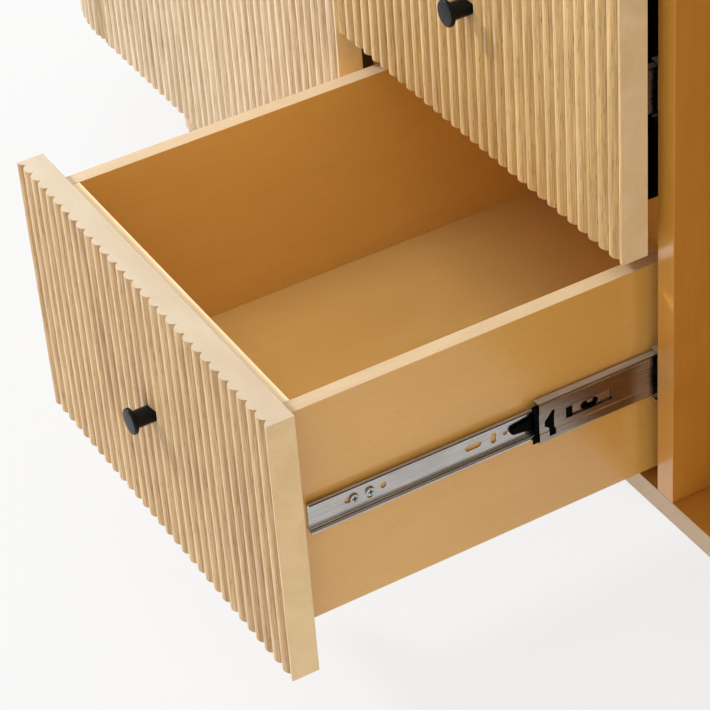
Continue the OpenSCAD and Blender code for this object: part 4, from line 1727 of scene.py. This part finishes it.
@dataclass
class EndPanel:
    """The two ribbed ends with their rounded front corners."""

    corner_r: float = 156.0 * MM
    flat: float = 11.4 * MM
    seam_r: float = 6.0 * MM
    bends: int = 24
    ribs: RibRow = field(default_factory=RibRow)

    def rib(self, s: float) -> tuple[Vector, Vector]:
        """Places a rib of the left end.

        Args:
            s: its distance from the seam along the panel.

        Returns:
            The middle of its arc, and the way that it faces.
        """
        r = self.ribs.radius
        arc = self.corner_r * math.pi / 2
        centre = Vector((-(LAYOUT.half_w - self.corner_r), LAYOUT.y_front + self.corner_r))
        if s < self.flat:
            return Vector((-(LAYOUT.seam_x + s), LAYOUT.y_front + r)), Vector((0, -1))
        if s < self.flat + arc:
            turn = (s - self.flat) / self.corner_r
            way = Vector((-math.sin(turn), -math.cos(turn)))
            return centre + way * (self.corner_r - r), way
        return Vector((-(LAYOUT.half_w - r), centre.y + s - self.flat - arc)), Vector((-1, 0))

    def left(self) -> bmesh.types.BMesh:
        """Makes the left end.

        Returns:
            The end.
        """
        land, t = self.ribs.land, LAYOUT.front_t
        path = self.flat + self.corner_r * math.pi / 2 + LAYOUT.y_back - LAYOUT.y_front \
            - self.corner_r
        count = round((path - 2 * land) / self.ribs.pitch)
        row = [self.rib(land + i * (path - 2 * land) / count) for i in range(count + 1)]
        seam = Vector((-LAYOUT.seam_x, LAYOUT.y_front))
        middle = seam + Vector((-self.seam_r, self.seam_r))
        meet = crossing(middle, self.seam_r, row[0][0], self.ribs.radius,
                        seam + Vector((-3 * MM, 0)))
        sketch = Sketch().start(seam.x, seam.y + self.seam_r)
        sketch.arc_to(tuple(middle), tuple(meet), CORNER_STEPS)
        self.ribs.draw(sketch, [c for c, _ in row], [w for _, w in row],
                       Vector((-LAYOUT.half_w + 0.02 * MM, LAYOUT.y_back)))
        centre = (-(LAYOUT.half_w - self.corner_r), LAYOUT.y_front + self.corner_r)
        sketch.line((-LAYOUT.half_w + t, LAYOUT.y_back), (-LAYOUT.half_w + t, centre[1]))
        sketch.arc(centre, math.pi / 2, self.bends)
        sketch.line((seam.x, LAYOUT.y_front + t))
        height = LAYOUT.z_top - LAYOUT.leg_h
        work = sketch.close().solid(*upright(height, LAYOUT.leg_h))
        RibbedBoard().finish_edges(work, LAYOUT.leg_h, LAYOUT.z_top)
        return work

    def build(self) -> None:
        """Makes both ends."""
        work = self.left()
        other = mirrored(work)
        for side, solid in (("left", work), ("right", other)):
            add_piece(solid, f"{side}_ribbed_end", "cabinet", END_RIBBED,
                      [f"{side}_end_panel"])


@dataclass
class Leg:
    """A tapered turned leg on a glide."""

    node: str
    x: float
    y: float
    foot: float = 23.0 * MM
    top: float = 30.0 * MM
    glide_h: float = 6.0 * MM
    eased: float = 1.6 * MM
    steps: int = 72

    def build(self) -> None:
        """Makes the leg."""
        low, high = self.glide_h, LAYOUT.leg_h
        points = [(0.0, low), (self.foot - self.eased, low),
                  (self.foot - 0.4 * self.eased, low + 0.35 * self.eased),
                  (self.foot, low + self.eased), (self.top, high), (0.0, high)]
        work = lathe(points, self.steps, Matrix.Translation((self.x, self.y, 0.0)))
        add_piece(work, f"turned_{self.node}", "cabinet", [Finish.LEG_WOOD],
                  [self.node], TURNED_SMOOTH)


@dataclass
class Basin:
    """A round bowl hung under the stone."""

    side: str
    x: float
    y: float = 5.2 * MM
    radius: float = 185.0 * MM
    depth: float = 140.0 * MM
    wall: float = 10.0 * MM
    round_r: float = 90.0 * MM
    drain: float = 22.5 * MM
    drain_ring: float = 3.0 * MM
    drain_dip: float = 0.4 * MM
    drain_step: float = 2.0 * MM
    flange: float = 20.0 * MM
    flange_t: float = 12.0 * MM
    flange_cut: float = 2.0 * MM
    bends: int = 14
    steps: int = 128

    def build(self) -> None:
        """Makes the bowl."""
        z, r, d = LAYOUT.z_top, self.radius, self.depth
        turns = [math.pi / 2 * i / self.bends for i in range(self.bends + 1)]
        inner = [(r - self.round_r * (1 - math.cos(a)), z - d + self.round_r * (1 - math.sin(a)))
                 for a in turns]
        big = self.round_r + self.wall
        outer = [(r + self.wall - big * (1 - math.cos(a)),
                  z - d - self.wall + big * (1 - math.sin(a))) for a in reversed(turns)]
        points = [(r, z), *inner, (self.drain + self.drain_ring, z - d - self.drain_dip),
                  (self.drain, z - d - self.drain_step), (self.drain, z - d - self.wall), *outer,
                  (r + self.wall, z - self.flange_t),
                  (r + self.wall + self.flange - self.flange_cut, z - self.flange_t),
                  (r + self.wall + self.flange, z - self.flange_t + self.flange_cut),
                  (r + self.wall + self.flange, z)]
        work = lathe(points, self.steps, Matrix.Translation((self.x, self.y, 0.0)))
        add_piece(work, f"{self.side}_glazed_bowl", "cabinet", [Finish.GLAZE],
                  [f"{self.side}_basin"], TURNED_SMOOTH)


@dataclass
class Carcass:
    """Boards, stone, legs and basins."""

    leg_x: float = 690.0 * MM
    leg_front: float = -159.0 * MM
    leg_back: float = 171.0 * MM
    basin_x: float = 470.0 * MM

    def build(self) -> None:
        """Makes the whole carcass."""
        amber = [Finish.CARCASS_WOOD]
        for node, finishes in (
                ("left_divider", amber), ("right_divider", amber),
                ("bottom_board", [Finish.SHADED_FLOOR_WOOD, Finish.BOTTOM_EDGE]),
                ("back_board", amber), ("corner_posts", amber),
                ("top_stretchers", [Finish.CROSS_WOOD])):
            copy_board(node, f"eased_{node}", finishes, (0, -1, 0))
        copy_board("stone_top", "honed_stone_top", [Finish.STONE], (0, -1, 0),
                   1.5 * MM)
        EndPanel().build()
        for end, y in (("front", self.leg_front), ("back", self.leg_back)):
            for side, x in (("left", -self.leg_x), ("right", self.leg_x)):
                Leg(f"{end}_{side}_leg", x, y).build()
        Leg("centre_leg", 0.0, 0.0).build()
        for side, x in (("left", -self.basin_x), ("right", self.basin_x)):
            Basin(side, x).build()


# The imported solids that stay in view. All others are replaced by finer pieces.
SHOWN_SOLIDS = {
    "leg_glides": Finish.GLIDE_PLASTIC, "leg_bolts": Finish.SCREW_STEEL,
    "door_pivots": Finish.SCREW_STEEL, "door_catches": Finish.BLACK_PLASTIC,
}


def dress_solids() -> None:
    """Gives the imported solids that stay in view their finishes."""
    for name, finish in SHOWN_SOLIDS.items():
        for place in frame["nodes"][name].material_slots:
            place.material = material_of(finish)
    log.info("dressed %d packed solids", len(SHOWN_SOLIDS))


def main() -> None:
    """Builds the studio and dresses the unit."""
    logging.basicConfig(level=logging.INFO, format="%(name)s: %(message)s")
    Studio().build()
    dress_solids()
    Carcass().build()
    for number, (name, pull) in enumerate(PULLS.items()):
        Drawer(name, number, pull * MM).build()
    for side, degrees in SWINGS.items():
        Door(side, math.radians(degrees)).build()


if __name__ == "__main__":
    main()
